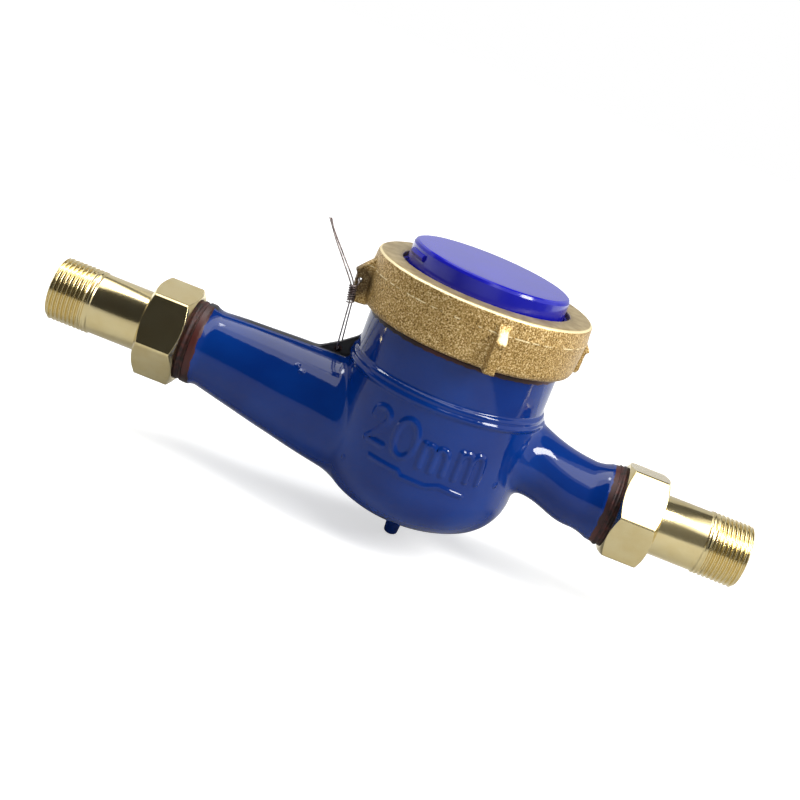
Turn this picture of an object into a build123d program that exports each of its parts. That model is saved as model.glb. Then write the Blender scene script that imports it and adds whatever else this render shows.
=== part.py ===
from build123d import *
import math
import os

# A multi-jet water meter of 20 mm nominal size, with its two union couplings.
# Millimetres, +Z up, X along the pipe from the inlet to the outlet.
# The pieces are drawn about the register axis, where it crosses the pipe axis.
# The row's origin is on the pipe axis, where the inlet tail's full thread begins.

# Driving sizes of the whole meter
REGISTER_X = 162.0          # register axis, measured from the origin
INLET_END = -163.0          # free end of the inlet tail
OUTLET_END = 136.0          # free end of the outlet tail
INLET_FACE = -110.6         # body's inlet face
OUTLET_FACE = 84.4          # body's outlet face, 195 from the inlet face
RING_TOP = 66.0
RING_BOTTOM = 43.5

# Waterway and union couplings
BORE_R = 10.0
TAIL_R = 12.7
TAIL_THREAD_R = 13.2        # taper pipe thread of three quarters of an inch
TAIL_THREAD_LENGTH = 18.0
TAIL_CHAMFER = 1.0
BODY_THREAD_R = 16.6        # parallel pipe thread of one inch
BODY_THREAD_LENGTH = 9.5
COLLAR_R = 17.0
WASHER_THICK = 1.5
FLANGE_R = 14.7
FLANGE_THICK = 3.0
NUT_ACROSS_FLATS = 36.8
NUT_LENGTH = 17.5
NUT_LIP = 2.9
INLET_NUT_TURN = 21.0       # how far the front flat looks up from level
OUTLET_NUT_TURN = 38.0

# Cast body
WALL = 4.0
BOWL_R = 40.1
BOWL_BOTTOM = -37.0
DOME_R = 63.0
CORNER_R = 19.2
NUB_R = 3.1                 # small boss under the bowl, used to centre it for machining
NUB_BOTTOM = -45.8
SEAL_WEB_THICK = 3.0
NECK_R = 39.2
NECK_THREAD_R = 40.2
NECK_TOP = 59.0
SHELF_TOP = 0.0             # partition between the inlet and outlet chambers
SHELF_THICK = 3.0
SHELF_HOLE_R = 29.6
UPPER_CHAMBER_R = 35.2
REGISTER_SEAT = 50.0
SEAT_R = 37.7

# Measuring chamber and vane wheel
CUP_FLOOR = -26.2
PIVOT_R = 1.5
PIVOT_TIP = -17.4

# Ring nut
RING_OPENING_R = 35.0
RING_LIP_BOTTOM = 62.2
RING_TOP_R = 44.6
RING_PARTING_R = 45.2
RING_PARTING_Z = 58.8
RING_BOTTOM_R = 44.2
RING_LUG_WIDTH = 4.4

# Lid
LID_R = 33.0
LID_TOP = 72.2
LID_HEIGHT = 10.3
LID_WALL = 2.0
LID_AJAR = 1.6              # degrees that the lid stands open at rest
HINGE_TURN = 30.0           # hinge direction, from +X towards +Y
HINGE_REACH = 31.8
HINGE_PIN_R = 0.8
HINGE_Z = 67.9

# Register train: sizes of the teeth and heights of the wheels
MODULE = 0.75
WHEEL_WIDTH = 1.3
FIRST_WHEEL_Z = 27.0
WHEEL_PITCH_Z = 2.1
DIAL_Z = 46.0
DIAL_THICK = 1.0
PLATE_Z = 40.0
PLATE_THICK = 1.5
POINTER_CIRCLE_R = 18.0
ARBOR_R = 0.6
FIT = 0.05                  # radial clearance of every turning fit
ROLLER_R = 4.9
ROLLER_Z = 41.9
ROLLER_Y = 13.6
ROLLER_WIDTH = 4.6
ROLLER_PITCH = 5.0
WORM_R = 1.5
WORM_WHEEL_TEETH = 10
WORM_WHEEL_MODULE = 0.6
WORM_WHEEL_TIP_R = WORM_WHEEL_MODULE * (WORM_WHEEL_TEETH / 2 + 0.75)

TO_ROW = Pos(REGISTER_X, 0, 0)


def disc(radius, low, high, hole=0.0):
    """A round plate or collar on the register axis, between two heights."""
    solid = Pos(0, 0, low) * extrude(Circle(radius), high - low)
    if hole:
        solid -= Pos(0, 0, low - 1) * extrude(Circle(hole), high - low + 2)
    return solid


def turned(points):
    """A solid turned about the register axis from (radius, height) points."""
    face = make_face(Plane.XZ * Polyline(*points, close=True))
    return revolve(face, Axis.Z)


def turned_along_pipe(points):
    """A solid turned about the pipe axis from (x, radius) points."""
    face = make_face(Plane.XZ * Polyline(*points, close=True))
    return revolve(face, Axis.X)


def tube_along_pipe(start, end, radius, hole=0.0):
    """A straight round length on the pipe axis."""
    solid = Plane.YZ.offset(start) * extrude(Circle(radius), end - start)
    if hole:
        solid -= Plane.YZ.offset(start - 1) * extrude(Circle(hole), end - start + 2)
    return solid


def duct(sections):
    """A loft through upright rings given as (x, centre height, half width, half height)."""
    rings = []
    for x, height, half_width, half_height in sections:
        plane = Plane(origin=(x, 0, height), x_dir=(0, 1, 0), z_dir=(1, 0, 0))
        rings.append(plane * Ellipse(half_width, half_height + 0.001))
    return loft(rings)


def bowl_outline(wall, dome, corner, bottom, top, start=0.0):
    """Half outline of the bowl: a shallow dome, a round corner and an upright wall."""
    reach = wall - corner
    lean = math.asin(reach / (dome - corner))
    centre_z = bottom + dome - (dome - corner) * math.cos(lean)
    foot = (start, bottom + dome - math.sqrt(dome ** 2 - start ** 2))
    dome_mid = (dome * math.sin(lean / 2), bottom + dome - dome * math.cos(lean / 2))
    join = (dome * math.sin(lean), bottom + dome - dome * math.cos(lean))
    middle = (lean + math.pi / 2) / 2
    corner_mid = (reach + corner * math.sin(middle), centre_z - corner * math.cos(middle))
    side = (wall, centre_z)
    return [
        ThreePointArc(foot, dome_mid, join),
        ThreePointArc(join, corner_mid, side),
        Line(side, (wall, top)),
    ]


def dome_height(radius):
    """Height of the bowl's outer dome at a radius."""
    return BOWL_BOTTOM + DOME_R - math.sqrt(DOME_R ** 2 - radius ** 2)


def revolved_outline(edges):
    """A solid turned about the register axis from edges that start and end on it."""
    face = make_face(Plane.XZ * (Curve() + edges))
    return revolve(face, Axis.Z)


def at_azimuth(turn):
    """A frame on the register axis whose X points away from it, turned from the front."""
    return Rot(0, 0, turn - 90)


def meter_body():
    """The casting: bowl, neck, inlet cone, outlet bend, seal web and both port threads."""
    bead = [
        ThreePointArc((BOWL_R, 20.8), (BOWL_R + 0.9, 22.2), (BOWL_R - 0.3, 23.3)),
        ThreePointArc((BOWL_R - 0.3, 23.3), (BOWL_R + 0.3, 24.5), (NECK_R, 25.8)),
    ]
    neck = Polyline((NECK_R, 25.8), (NECK_R, 43.2), (NECK_THREAD_R, 43.2),
                    (NECK_THREAD_R, NECK_TOP - 0.8), (NECK_THREAD_R - 0.8, NECK_TOP),
                    (0, NECK_TOP), (0, NUB_BOTTOM), (NUB_R - 1.1, NUB_BOTTOM),
                    (NUB_R - 0.5, NUB_BOTTOM + 0.7), (NUB_R, BOWL_BOTTOM - 1.5),
                    (NUB_R + 1.0, dome_height(NUB_R + 1.0)))
    bowl = revolved_outline(
        bowl_outline(BOWL_R, DOME_R, CORNER_R, BOWL_BOTTOM, 20.8, NUB_R + 1.0) + bead + [neck])
    cone = duct([(-101, 0, 15.1, 15.1), (-80, -1.7, 18.1, 18.1), (-57, -3.9, 21.0, 21.0),
                 (-41, -5.4, 22.7, 22.7), (-24, -7.0, 24.0, 24.0)])
    bend = duct([(76, 0, 14.3, 14.3), (66, 0.3, 14.2, 14.2), (56.4, 2.0, 14.1, 14.1),
                 (48.3, 4.6, 14.0, 13.9), (42.0, 6.3, 15.4, 14.9), (36.5, 7.4, 18.4, 16.6),
                 (30.0, 8.0, 20.0, 17.2)])
    inlet_end = turned_along_pipe([
        (INLET_FACE, 0), (INLET_FACE, BODY_THREAD_R - 1.0), (INLET_FACE + 1.0, BODY_THREAD_R),
        (INLET_FACE + BODY_THREAD_LENGTH, BODY_THREAD_R), (INLET_FACE + BODY_THREAD_LENGTH, COLLAR_R - 0.6),
        (INLET_FACE + BODY_THREAD_LENGTH + 0.6, COLLAR_R), (INLET_FACE + BODY_THREAD_LENGTH + 2.0, COLLAR_R),
        (-95.0, 15.2), (-90, 12), (-90, 0)])
    outlet_end = turned_along_pipe([
        (OUTLET_FACE, 0), (OUTLET_FACE, BODY_THREAD_R - 1.0), (OUTLET_FACE - 1.0, BODY_THREAD_R),
        (OUTLET_FACE - BODY_THREAD_LENGTH + 2.0, BODY_THREAD_R),
        (OUTLET_FACE - BODY_THREAD_LENGTH + 2.0, 16.2),
        (OUTLET_FACE - BODY_THREAD_LENGTH - 0.8, 15.9), (70.0, 14.2), (66, 11), (66, 0)])
    web_side = make_face(Plane.XZ * Polyline(
        (-55.6, 16.2), (-54.8, 17.2), (-46.5, 22.4), (-38.6, 28.6), (-30, 28.6), (-30, 10), (-54, 10),
        close=True))
    web = extrude(web_side, SEAL_WEB_THICK / 2, both=True)
    casting = bowl + cone + bend + inlet_end + outlet_end + web

    chamber = revolved_outline(
        bowl_outline(BOWL_R - WALL, DOME_R - WALL, CORNER_R - WALL, BOWL_BOTTOM + WALL,
                     SHELF_TOP - SHELF_THICK)
        + [Polyline((BOWL_R - WALL, SHELF_TOP - SHELF_THICK), (0, SHELF_TOP - SHELF_THICK),
                    (0, BOWL_BOTTOM + WALL))])
    shaft = turned([(0, SHELF_TOP - SHELF_THICK - 1), (SHELF_HOLE_R, SHELF_TOP - SHELF_THICK - 1),
                    (SHELF_HOLE_R, SHELF_TOP), (UPPER_CHAMBER_R, SHELF_TOP), (UPPER_CHAMBER_R, REGISTER_SEAT),
                    (SEAT_R, REGISTER_SEAT), (SEAT_R, NECK_TOP + 1), (0, NECK_TOP + 1)])
    inlet_way = duct([(INLET_FACE - 1, 0, BORE_R, BORE_R), (-98, 0, 10.4, 10.4), (-78, -3.6, 13.0, 11.4),
                      (-58, -9.2, 15.5, 11.4), (-42, -13.6, 16.8, 10.2), (-24, -15.5, 17.0, 9.4)])
    outlet_way = duct([(OUTLET_FACE + 1, 0, BORE_R, BORE_R), (70, 0.1, 10.0, 10.0), (57, 2.2, 9.9, 9.9),
                       (47, 6.0, 10.1, 9.9), (38, 9.8, 12.0, 9.6), (26, 11.6, 14.0, 9.8)])
    seal_hole = Plane.XZ.offset(-4) * Pos(-46.3, 19.6) * extrude(Circle(1.2), 8)
    return casting - chamber - shaft - inlet_way - outlet_way - seal_hole


def ring_lug(turn, reach, crest):
    """A cast wrench lug: a wedge down to its crest, then a slightly set back lower half."""
    upper = Polyline((41.5, RING_BOTTOM + 4), (41.5, crest + 7.6), (44.3, crest + 8.6), (45.3, crest + 6.6),
                     (reach, crest + 0.8), (reach, crest), (reach - 0.9, crest),
                     (reach - 1.0, crest - 1.4), (reach - 1.3, RING_BOTTOM + 0.6),
                     (reach - 2.1, RING_BOTTOM - 0.4), (43.0, RING_BOTTOM - 0.4), (42.6, RING_BOTTOM + 4),
                     close=True)
    side = make_face(Plane.XZ * upper)
    return at_azimuth(turn) * extrude(side, RING_LUG_WIDTH / 2, both=True)


def ring_nut():
    """The sand-cast ring that screws over the neck and clamps glass and register."""
    ring = turned([(RING_OPENING_R, RING_TOP - 0.4), (RING_OPENING_R + 0.4, RING_TOP),
                   (RING_TOP_R - 1.2, RING_TOP), (RING_TOP_R, RING_TOP - 0.9),
                   (RING_PARTING_R, RING_PARTING_Z), (RING_BOTTOM_R, RING_BOTTOM + 2.6),
                   (RING_BOTTOM_R - 0.7, RING_BOTTOM + 1.0), (RING_BOTTOM_R - 2.2, RING_BOTTOM),
                   (NECK_THREAD_R + 1.2, RING_BOTTOM), (NECK_THREAD_R + FIT, RING_BOTTOM + 1.1),
                   (NECK_THREAD_R + FIT, NECK_TOP + 0.4), (38.2, NECK_TOP + 0.4), (38.2, RING_LIP_BOTTOM),
                   (RING_OPENING_R, RING_LIP_BOTTOM)])
    for turn, reach, crest in ((15.5, 49.5, 55.0), (105.5, 49.5, 52.6), (195.5, 49.5, 52.6)):
        ring += ring_lug(turn, reach, crest)
    seal_lug = ring_lug(-74.5, 51.0, 55.0)
    hole = Pos(48.4, 0, 52.0) * Rot(90, 0, 0) * Cylinder(1.1, 10)
    return ring + seal_lug - at_azimuth(-74.5) * hole


def lid():
    """The moulded lid: a shallow cap with a thumb tab, hung on the hinge pin and left ajar."""
    shell = turned([(0, LID_TOP - LID_WALL), (LID_R - LID_WALL, LID_TOP - LID_WALL),
                    (LID_R - LID_WALL, LID_TOP - LID_HEIGHT), (LID_R - 0.4, LID_TOP - LID_HEIGHT),
                    (LID_R, LID_TOP - LID_HEIGHT + 1.4), (LID_R - 0.2, LID_TOP - 1.5),
                    (LID_R - 0.7, LID_TOP - 0.5), (LID_R - 1.7, LID_TOP - 0.05), (LID_R - 4.5, LID_TOP),
                    (0, LID_TOP)])
    tab_ring = turned([(LID_R - 1.5, LID_TOP - 5.6), (LID_R + 0.6, LID_TOP - 5.2),
                       (LID_R + 1.2, LID_TOP - 3.9), (LID_R + 0.7, LID_TOP - 2.7),
                       (LID_R - 1.5, LID_TOP - 2.2)])
    tab = tab_ring & (Rot(0, 0, 180 + HINGE_TURN) * Pos(LID_R, 0, LID_TOP - 4) * Box(8, 11, 8))
    ear_room_height = LID_TOP - LID_WALL - HINGE_Z + 8.4
    ear_room = Rot(0, 0, HINGE_TURN) * Pos(HINGE_REACH + 1, 0, HINGE_Z - 2.1) * Box(11, 17.0, ear_room_height)
    ear_room &= disc(60, LID_TOP - LID_HEIGHT - 1, LID_TOP - LID_WALL)
    knuckle = Pos(HINGE_REACH, 0, HINGE_Z) * Rot(90, 0, 0) * Cylinder(1.9, 8.0)
    knuckle += Pos(HINGE_REACH - 1.0, 0, HINGE_Z + 1.6) * Box(3.6, 8.0, 2.8)
    knuckle -= Pos(HINGE_REACH, 0, HINGE_Z) * Rot(90, 0, 0) * Cylinder(HINGE_PIN_R + FIT, 30)
    closed = shell + tab - ear_room + (Rot(0, 0, HINGE_TURN) * knuckle)
    return open_lid(closed, LID_AJAR)


def hinge_axis():
    """The lid's hinge line: level, square to the hinge direction."""
    turn = math.radians(HINGE_TURN)
    centre = (HINGE_REACH * math.cos(turn), HINGE_REACH * math.sin(turn), HINGE_Z)
    return Axis(centre, (-math.sin(turn), math.cos(turn), 0))


def open_lid(closed, degrees):
    """The lid turned about its hinge so that the thumb tab rises."""
    return closed.rotate(hinge_axis(), degrees)


def lid_bezel():
    """The moulded ring under the brass lip that carries the hinge ears."""
    flange = disc(37.4, 60.5, 61.7, 30.0)
    collar = disc(RING_OPENING_R - 0.3, 61.7, 63.6, LID_R + 0.6)
    collar -= Rot(0, 0, HINGE_TURN) * Pos(LID_R, 0, 63) * Box(8, 10.2, 6)
    ears = Part()
    for side in (-1, 1):
        ear = Pos(HINGE_REACH, side * 6.0, HINGE_Z) * Rot(90, 0, 0) * Cylinder(1.8, 3.0)
        ear += Pos(HINGE_REACH - 0.4, side * 6.0, (61.0 + HINGE_Z) / 2) * Box(2.8, 3.0, HINGE_Z - 61.0)
        ears += ear
    ears -= Pos(HINGE_REACH, 0, HINGE_Z) * Rot(90, 0, 0) * Cylinder(HINGE_PIN_R, 30)
    return flange + collar + Rot(0, 0, HINGE_TURN) * ears


def lid_pin():
    """The steel hinge pin, pressed in the ears."""
    return Rot(0, 0, HINGE_TURN) * Pos(HINGE_REACH, 0, HINGE_Z) * Rot(90, 0, 0) * Cylinder(HINGE_PIN_R, 15.2)


def union_nut(start, turn):
    """A hexagon union nut with both faces chamfered, its lip on the tail's side."""
    half = NUT_ACROSS_FLATS / 2
    corner = half / math.cos(math.pi / 6)
    end = start + NUT_LENGTH
    plane = Plane(origin=(start, 0, 0), x_dir=(0, 1, 0), z_dir=(1, 0, 0))
    hexagon = RegularPolygon(half, 6, major_radius=False, rotation=30)
    blank = plane * Rot(0, 0, -turn) * extrude(hexagon, NUT_LENGTH)
    drop = (corner - half + 0.4) * math.tan(math.radians(30))
    return blank & turned_along_pipe([(start, 0), (start, half - 0.4), (start + drop, corner),
                                      (end - drop, corner), (end, half - 0.4), (end, 0)])


def inlet_nut():
    """The inlet union nut: the lip hole passes the tail, the rest takes the body's thread."""
    start = -122.5
    lip = start + NUT_LIP + 4.4
    return (union_nut(start, INLET_NUT_TURN) - tube_along_pipe(start - 1, start + 9, TAIL_THREAD_R + 0.2)
            - tube_along_pipe(lip, start + NUT_LENGTH + 1, BODY_THREAD_R + FIT))


def outlet_nut():
    """The outlet union nut, turned the other way round."""
    start = 80.2
    lip = start + NUT_LENGTH - NUT_LIP - 5.6
    return (union_nut(start, OUTLET_NUT_TURN) - tube_along_pipe(start + 5, start + 19, TAIL_THREAD_R + 0.2)
            - tube_along_pipe(start - 1, lip, BODY_THREAD_R + FIT))


def tail(end, inner, away):
    """A turned tail: threaded free end, plain barrel, and the flange the nut pulls on."""
    thread_end = end - away * TAIL_THREAD_LENGTH
    flange = inner + away * FLANGE_THICK
    points = [(end, BORE_R), (end, TAIL_THREAD_R - TAIL_CHAMFER), (end - away * TAIL_CHAMFER, TAIL_THREAD_R),
              (thread_end, TAIL_THREAD_R), (thread_end - away * 0.5, TAIL_R), (flange, TAIL_R),
              (flange, FLANGE_R), (inner, FLANGE_R), (inner, BORE_R)]
    return turned_along_pipe(points)


def inlet_tail():
    return tail(INLET_END, INLET_FACE - WASHER_THICK, -1)


def outlet_tail():
    return tail(OUTLET_END, OUTLET_FACE + WASHER_THICK, 1)


def inlet_washer():
    return tube_along_pipe(INLET_FACE - WASHER_THICK, INLET_FACE, FLANGE_R, BORE_R + 0.5)


def outlet_washer():
    return tube_along_pipe(OUTLET_FACE, OUTLET_FACE + WASHER_THICK, FLANGE_R, BORE_R + 0.5)


def strainer():
    """The plastic basket in the inlet chamber: a cup with rows of slots."""
    basket = turned([(0, -28.2), (22.0, -28.2), (29.2, -22.0), (29.2, SHELF_TOP), (33.6, SHELF_TOP),
                     (33.6, SHELF_TOP + 1.2), (28.0, SHELF_TOP + 1.2), (28.0, -21.4), (21.6, -27.0),
                     (0, -27.0)])
    slot = Box(4, 2.2, 15)
    for turn in range(0, 360, 20):
        basket -= Rot(0, 0, turn) * Pos(28.6, 0, -11.5) * slot
    return basket


def chamber_gasket():
    return disc(34.0, SHELF_TOP + 1.2, SHELF_TOP + 2.2, 26.2)


def impeller_box():
    """The measuring chamber: a flanged cup whose jets slant in below and out above."""
    cup = turned([(0, CUP_FLOOR), (21.8, CUP_FLOOR), (25.5, CUP_FLOOR + 3.6), (25.5, SHELF_TOP + 2.2),
                  (34.6, SHELF_TOP + 2.2), (34.6, SHELF_TOP + 4.6), (25.5, SHELF_TOP + 4.6), (25.5, 24.2),
                  (23.4, 24.2), (23.4, CUP_FLOOR + 4.5), (21.0, CUP_FLOOR + 2.0), (4.0, CUP_FLOOR + 2.0),
                  (4.0, CUP_FLOOR + 4.6), (0, CUP_FLOOR + 4.6)])
    cup -= Pos(0, 0, CUP_FLOOR - 1) * extrude(Circle(PIVOT_R), 7)
    jet = Pos(24.5, 7.5, 0) * Rot(0, 0, 38) * Box(12, 2.6, 10)
    for step in range(9):
        cup -= Rot(0, 0, 40 * step) * Pos(0, 0, -13.6) * jet
        cup -= Rot(0, 0, 40 * step + 20) * Pos(0, 0, 13.0) * (jet.mirror(Plane.XZ))
    return cup


def pivot():
    """The hardened pin in the chamber floor that the wheel turns on."""
    return turned([(0, CUP_FLOOR), (PIVOT_R, CUP_FLOOR), (PIVOT_R, PIVOT_TIP - 1.8), (0.3, PIVOT_TIP),
                   (0, PIVOT_TIP)])


def pivot_jewel():
    return turned([(0, PIVOT_TIP), (1.9, PIVOT_TIP), (1.9, PIVOT_TIP + 2), (0, PIVOT_TIP + 2)])


def gear_blank(teeth, module=MODULE):
    """Outline of a slim-toothed train wheel with a tooth on the X axis."""
    pitch_r = module * teeth / 2
    step = 2 * math.pi / teeth
    root = pitch_r - 1.05 * module
    tip = pitch_r + 0.75 * module
    points = []
    for tooth in range(teeth):
        for radius, share in ((root, -0.27), (tip, -0.11), (tip, 0.11), (root, 0.27)):
            angle = step * (tooth + share)
            points.append((radius * math.cos(angle), radius * math.sin(angle)))
    return make_face(Polyline(*points, close=True))


def gear(teeth, level, phase, width=WHEEL_WIDTH):
    """A train wheel at a height, turned so that one tooth points along phase."""
    return Pos(0, 0, level) * Rot(0, 0, phase) * extrude(gear_blank(teeth), width)


def impeller():
    """The vane wheel: hub, eight flat blades, spindle and driving pinion."""
    foot = CUP_FLOOR + 5.0
    top = PLATE_Z + PLATE_THICK - 0.1
    wheel = turned([(PIVOT_R + FIT, foot), (3.4, foot), (4.6, foot + 1.2), (4.6, -3.0), (3.2, -1.6),
                    (2.6, 3.0), (1.5, 4.0), (1.5, 26.4), (0.8, 26.8), (0.8, top), (0, top), (0, PIVOT_TIP + 2),
                    (1.9, PIVOT_TIP + 2), (1.9, PIVOT_TIP), (PIVOT_R + FIT, PIVOT_TIP)])
    blade_low = foot + 1.4
    blade_high = -2.8
    blade = Pos(12.7, 0, (blade_low + blade_high) / 2) * Box(17.8, 1.1, blade_high - blade_low)
    for turn in range(0, 360, 45):
        wheel += Rot(0, 0, turn) * blade
    return wheel + gear(6, FIRST_WHEEL_Z - 0.1, PINION_PHASE["impeller"], 1.6)


def level(number):
    """Height of the underside of a wheel of the train."""
    return FIRST_WHEEL_Z + WHEEL_PITCH_Z * number


def meet(first, second, reach_first, reach_second, side):
    """The arbor at given centre distances from two others, on one side of their line."""
    dx = second[0] - first[0]
    dy = second[1] - first[1]
    gap = math.hypot(dx, dy)
    along = (gap ** 2 + reach_first ** 2 - reach_second ** 2) / (2 * gap)
    off = side * math.sqrt(reach_first ** 2 - along ** 2)
    return (first[0] + (along * dx - off * dy) / gap, first[1] + (along * dy + off * dx) / gap)


def spacing(teeth, other_teeth):
    """Centre distance of two meshing wheels."""
    return MODULE * (teeth + other_teeth) / 2


def pointer_place(turn):
    angle = math.radians(turn)
    return (POINTER_CIRCLE_R * math.cos(angle), POINTER_CIRCLE_R * math.sin(angle))


def train_places():
    """Arbor positions: four pointers on a circle, the idlers between them, star and worm."""
    place = {"impeller": (0.0, 0.0)}
    for number, turn in enumerate((-165, -115, -65, -15), start=1):
        place[f"pointer_{number}"] = pointer_place(turn)
    place["star"] = meet(place["impeller"], place["pointer_1"], spacing(6, 20), spacing(6, 20), -1)
    place["idler_1"] = meet(place["pointer_1"], place["pointer_2"], spacing(6, 20), spacing(6, 18), -1)
    place["idler_2"] = meet(place["pointer_2"], place["pointer_3"], spacing(6, 20), spacing(6, 18), 1)
    place["idler_3"] = meet(place["pointer_3"], place["pointer_4"], spacing(6, 20), spacing(6, 18), -1)
    last_x, last_y = place["pointer_4"]
    worm_y = ROLLER_Y - WORM_WHEEL_TIP_R - WORM_R - 0.04
    place["worm"] = (last_x - math.sqrt(spacing(18, 18) ** 2 - (worm_y - last_y) ** 2), worm_y)
    return place


# Each mesh of the train: driver, driver's teeth, driven arbor, its teeth, wheel level
MESHES = (
    ("impeller", 6, "star", 20, 0),
    ("star", 6, "pointer_1", 20, 1),
    ("pointer_1", 6, "idler_1", 20, 2),
    ("idler_1", 6, "pointer_2", 18, 3),
    ("pointer_2", 6, "idler_2", 20, 4),
    ("idler_2", 6, "pointer_3", 18, 5),
    ("pointer_3", 6, "idler_3", 20, 3),
    ("idler_3", 6, "pointer_4", 18, 2),
    ("pointer_4", 18, "worm", 18, 1),
)
PLACE = train_places()


def phases():
    """Turn of every driving and driven wheel, so that a tooth stands in a gap."""
    driving = {}
    driven = {}
    for driver, _, follower, teeth, _ in MESHES:
        dx = PLACE[follower][0] - PLACE[driver][0]
        dy = PLACE[follower][1] - PLACE[driver][1]
        line = math.degrees(math.atan2(dy, dx))
        driving[driver] = line
        driven[follower] = line + 180 + 180 / teeth
    return driving, driven


PINION_PHASE, WHEEL_PHASE = phases()


def arbor(name):
    """A moulded arbor of the train: pivots, shaft, wheel and pinion in one piece."""
    shows = name.startswith("pointer") or name == "star"
    top = DIAL_Z + 2.6 if shows else PLATE_Z + PLATE_THICK - 0.1
    if name == "worm":
        top = PLATE_Z + PLATE_THICK + 3.2
    piece = disc(ARBOR_R, 25.3, top)
    for driver, pinion_teeth, follower, wheel_teeth, number in MESHES:
        if driver == name:
            piece += gear(pinion_teeth, level(number), PINION_PHASE[name])
        if follower == name:
            piece += gear(wheel_teeth, level(number), WHEEL_PHASE[name])
    numbers = sorted(mesh[4] for mesh in MESHES if name in (mesh[0], mesh[2]))
    if len(numbers) == 2:
        piece += disc(ARBOR_R + 0.2, level(numbers[0]) + WHEEL_WIDTH, level(numbers[1]))
    piece += disc(1.2, 26.3, 26.8)
    piece += disc(ARBOR_R + 0.2, 26.8, level(numbers[0]))
    if name == "worm":
        piece += disc(WORM_R, PLATE_Z + PLATE_THICK + 0.2, PLATE_Z + PLATE_THICK + 3.0)
    x, y = PLACE[name]
    return Pos(x, y, 0) * piece


def register_shell():
    """The moulded case of the train: a cup with a floor of bearings and a seating flange."""
    shell = turned([(0, 24.5), (34.4, 24.5), (34.4, REGISTER_SEAT), (37.3, REGISTER_SEAT),
                    (37.3, REGISTER_SEAT + 2.5), (32.6, REGISTER_SEAT + 2.5), (32.6, 26.2), (0, 26.2)])
    shell -= disc(1.5 + FIT, 24, 27)
    for name, (x, y) in PLACE.items():
        if name != "impeller":
            shell -= Pos(x, y, 25.2) * extrude(Circle(ARBOR_R + FIT), 2)
    return shell


def pillar_places():
    """Three pillars that carry the register plate, clear of the wheels."""
    places = []
    for turn in (62, 118, 270):
        angle = math.radians(turn)
        places.append((29.4 * math.cos(angle), 29.4 * math.sin(angle)))
    return places


def register_plate():
    """The upper bearing plate, on three pillars, with ears for the roller shaft."""
    plate = disc(32.3, PLATE_Z, PLATE_Z + PLATE_THICK)
    plate -= Pos(-0.7, ROLLER_Y, PLATE_Z) * Box(27.6, 10.8, 6)
    plate -= Pos(PLACE["worm"][0] - 0.4, ROLLER_Y, PLATE_Z) * Box(5.4, 2 * WORM_WHEEL_TIP_R + 0.6, 6)
    for x, y in pillar_places():
        plate += Pos(x, y, 26.2) * extrude(Circle(2.0), PLATE_Z - 26.2)
        plate += Pos(x, y, PLATE_Z + PLATE_THICK) * extrude(Circle(2.0), DIAL_Z - PLATE_Z - PLATE_THICK)
        plate -= Pos(x, y, DIAL_Z - 3) * extrude(Circle(0.7), 4)
    for x in (-15.6, 18.9):
        ear = Pos(x, ROLLER_Y, (PLATE_Z + ROLLER_Z + 1.6) / 2) * Box(1.6, 4.0, ROLLER_Z + 1.6 - PLATE_Z)
        plate += ear
    plate -= Pos(0, ROLLER_Y, ROLLER_Z) * Rot(0, 90, 0) * Cylinder(0.8, 60)
    for name, (x, y) in PLACE.items():
        radius = 0.8 if name == "impeller" else ARBOR_R
        plate -= Pos(x, y, PLATE_Z - 1) * extrude(Circle(radius + FIT), 4)
    return plate


def plate_screws():
    """Three small pan-head screws that hold the dial on the pillars."""
    screws = Part()
    for x, y in pillar_places():
        shank = Pos(x, y, DIAL_Z - 2.8) * extrude(Circle(0.68), 2.8 + DIAL_THICK)
        head = Pos(x, y, DIAL_Z + DIAL_THICK) * extrude(Circle(1.5), 0.8)
        screws += shank + head
    return screws


def dial():
    """The dial plate: a window for the rollers and holes for the arbors and screws."""
    plate = disc(32.3, DIAL_Z, DIAL_Z + DIAL_THICK)
    plate -= Pos(0, ROLLER_Y, DIAL_Z) * Box(26.0, 6.4, 4)
    for name, (x, y) in PLACE.items():
        if name.startswith("pointer") or name == "star":
            plate -= Pos(x, y, DIAL_Z - 1) * extrude(Circle(ARBOR_R + 0.3), 4)
    for x, y in pillar_places():
        plate -= Pos(x, y, DIAL_Z - 1) * extrude(Circle(0.75), 4)
    return plate


def pointer(number):
    """A red pointer pressed on its arbor: boss, tapered finger and short tail."""
    x, y = PLACE[f"pointer_{number}"]
    low = DIAL_Z + DIAL_THICK + 0.5
    finger = make_face(Polyline((-2.2, -0.7), (0, -0.9), (4.6, -0.2), (4.6, 0.2), (0, 0.9), (-2.2, 0.7),
                                close=True))
    piece = Pos(0, 0, low) * extrude(finger, 0.7) + disc(1.5, low, low + 1.4)
    piece -= disc(ARBOR_R, low - 1, low + 5)
    return Pos(x, y, 0) * Rot(0, 0, 90 - 36 * number * 1.7) * piece


def leak_star():
    """The six-armed star that shows the smallest flow."""
    low = DIAL_Z + DIAL_THICK + 0.5
    points = []
    for corner in range(12):
        radius = 4.3 if corner % 2 == 0 else 1.7
        angle = math.pi / 6 * corner
        points.append((radius * math.cos(angle), radius * math.sin(angle)))
    star = Pos(0, 0, low) * extrude(make_face(Polyline(*points, close=True)), 0.8) + disc(1.5, low, low + 1.3)
    star -= disc(ARBOR_R, low - 1, low + 5)
    x, y = PLACE["star"]
    return Pos(x, y, 0) * star


def roller_x(number):
    """Middle of a number roller: the first, on the right, counts whole cubic metres."""
    return (3 - number) * ROLLER_PITCH


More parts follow.
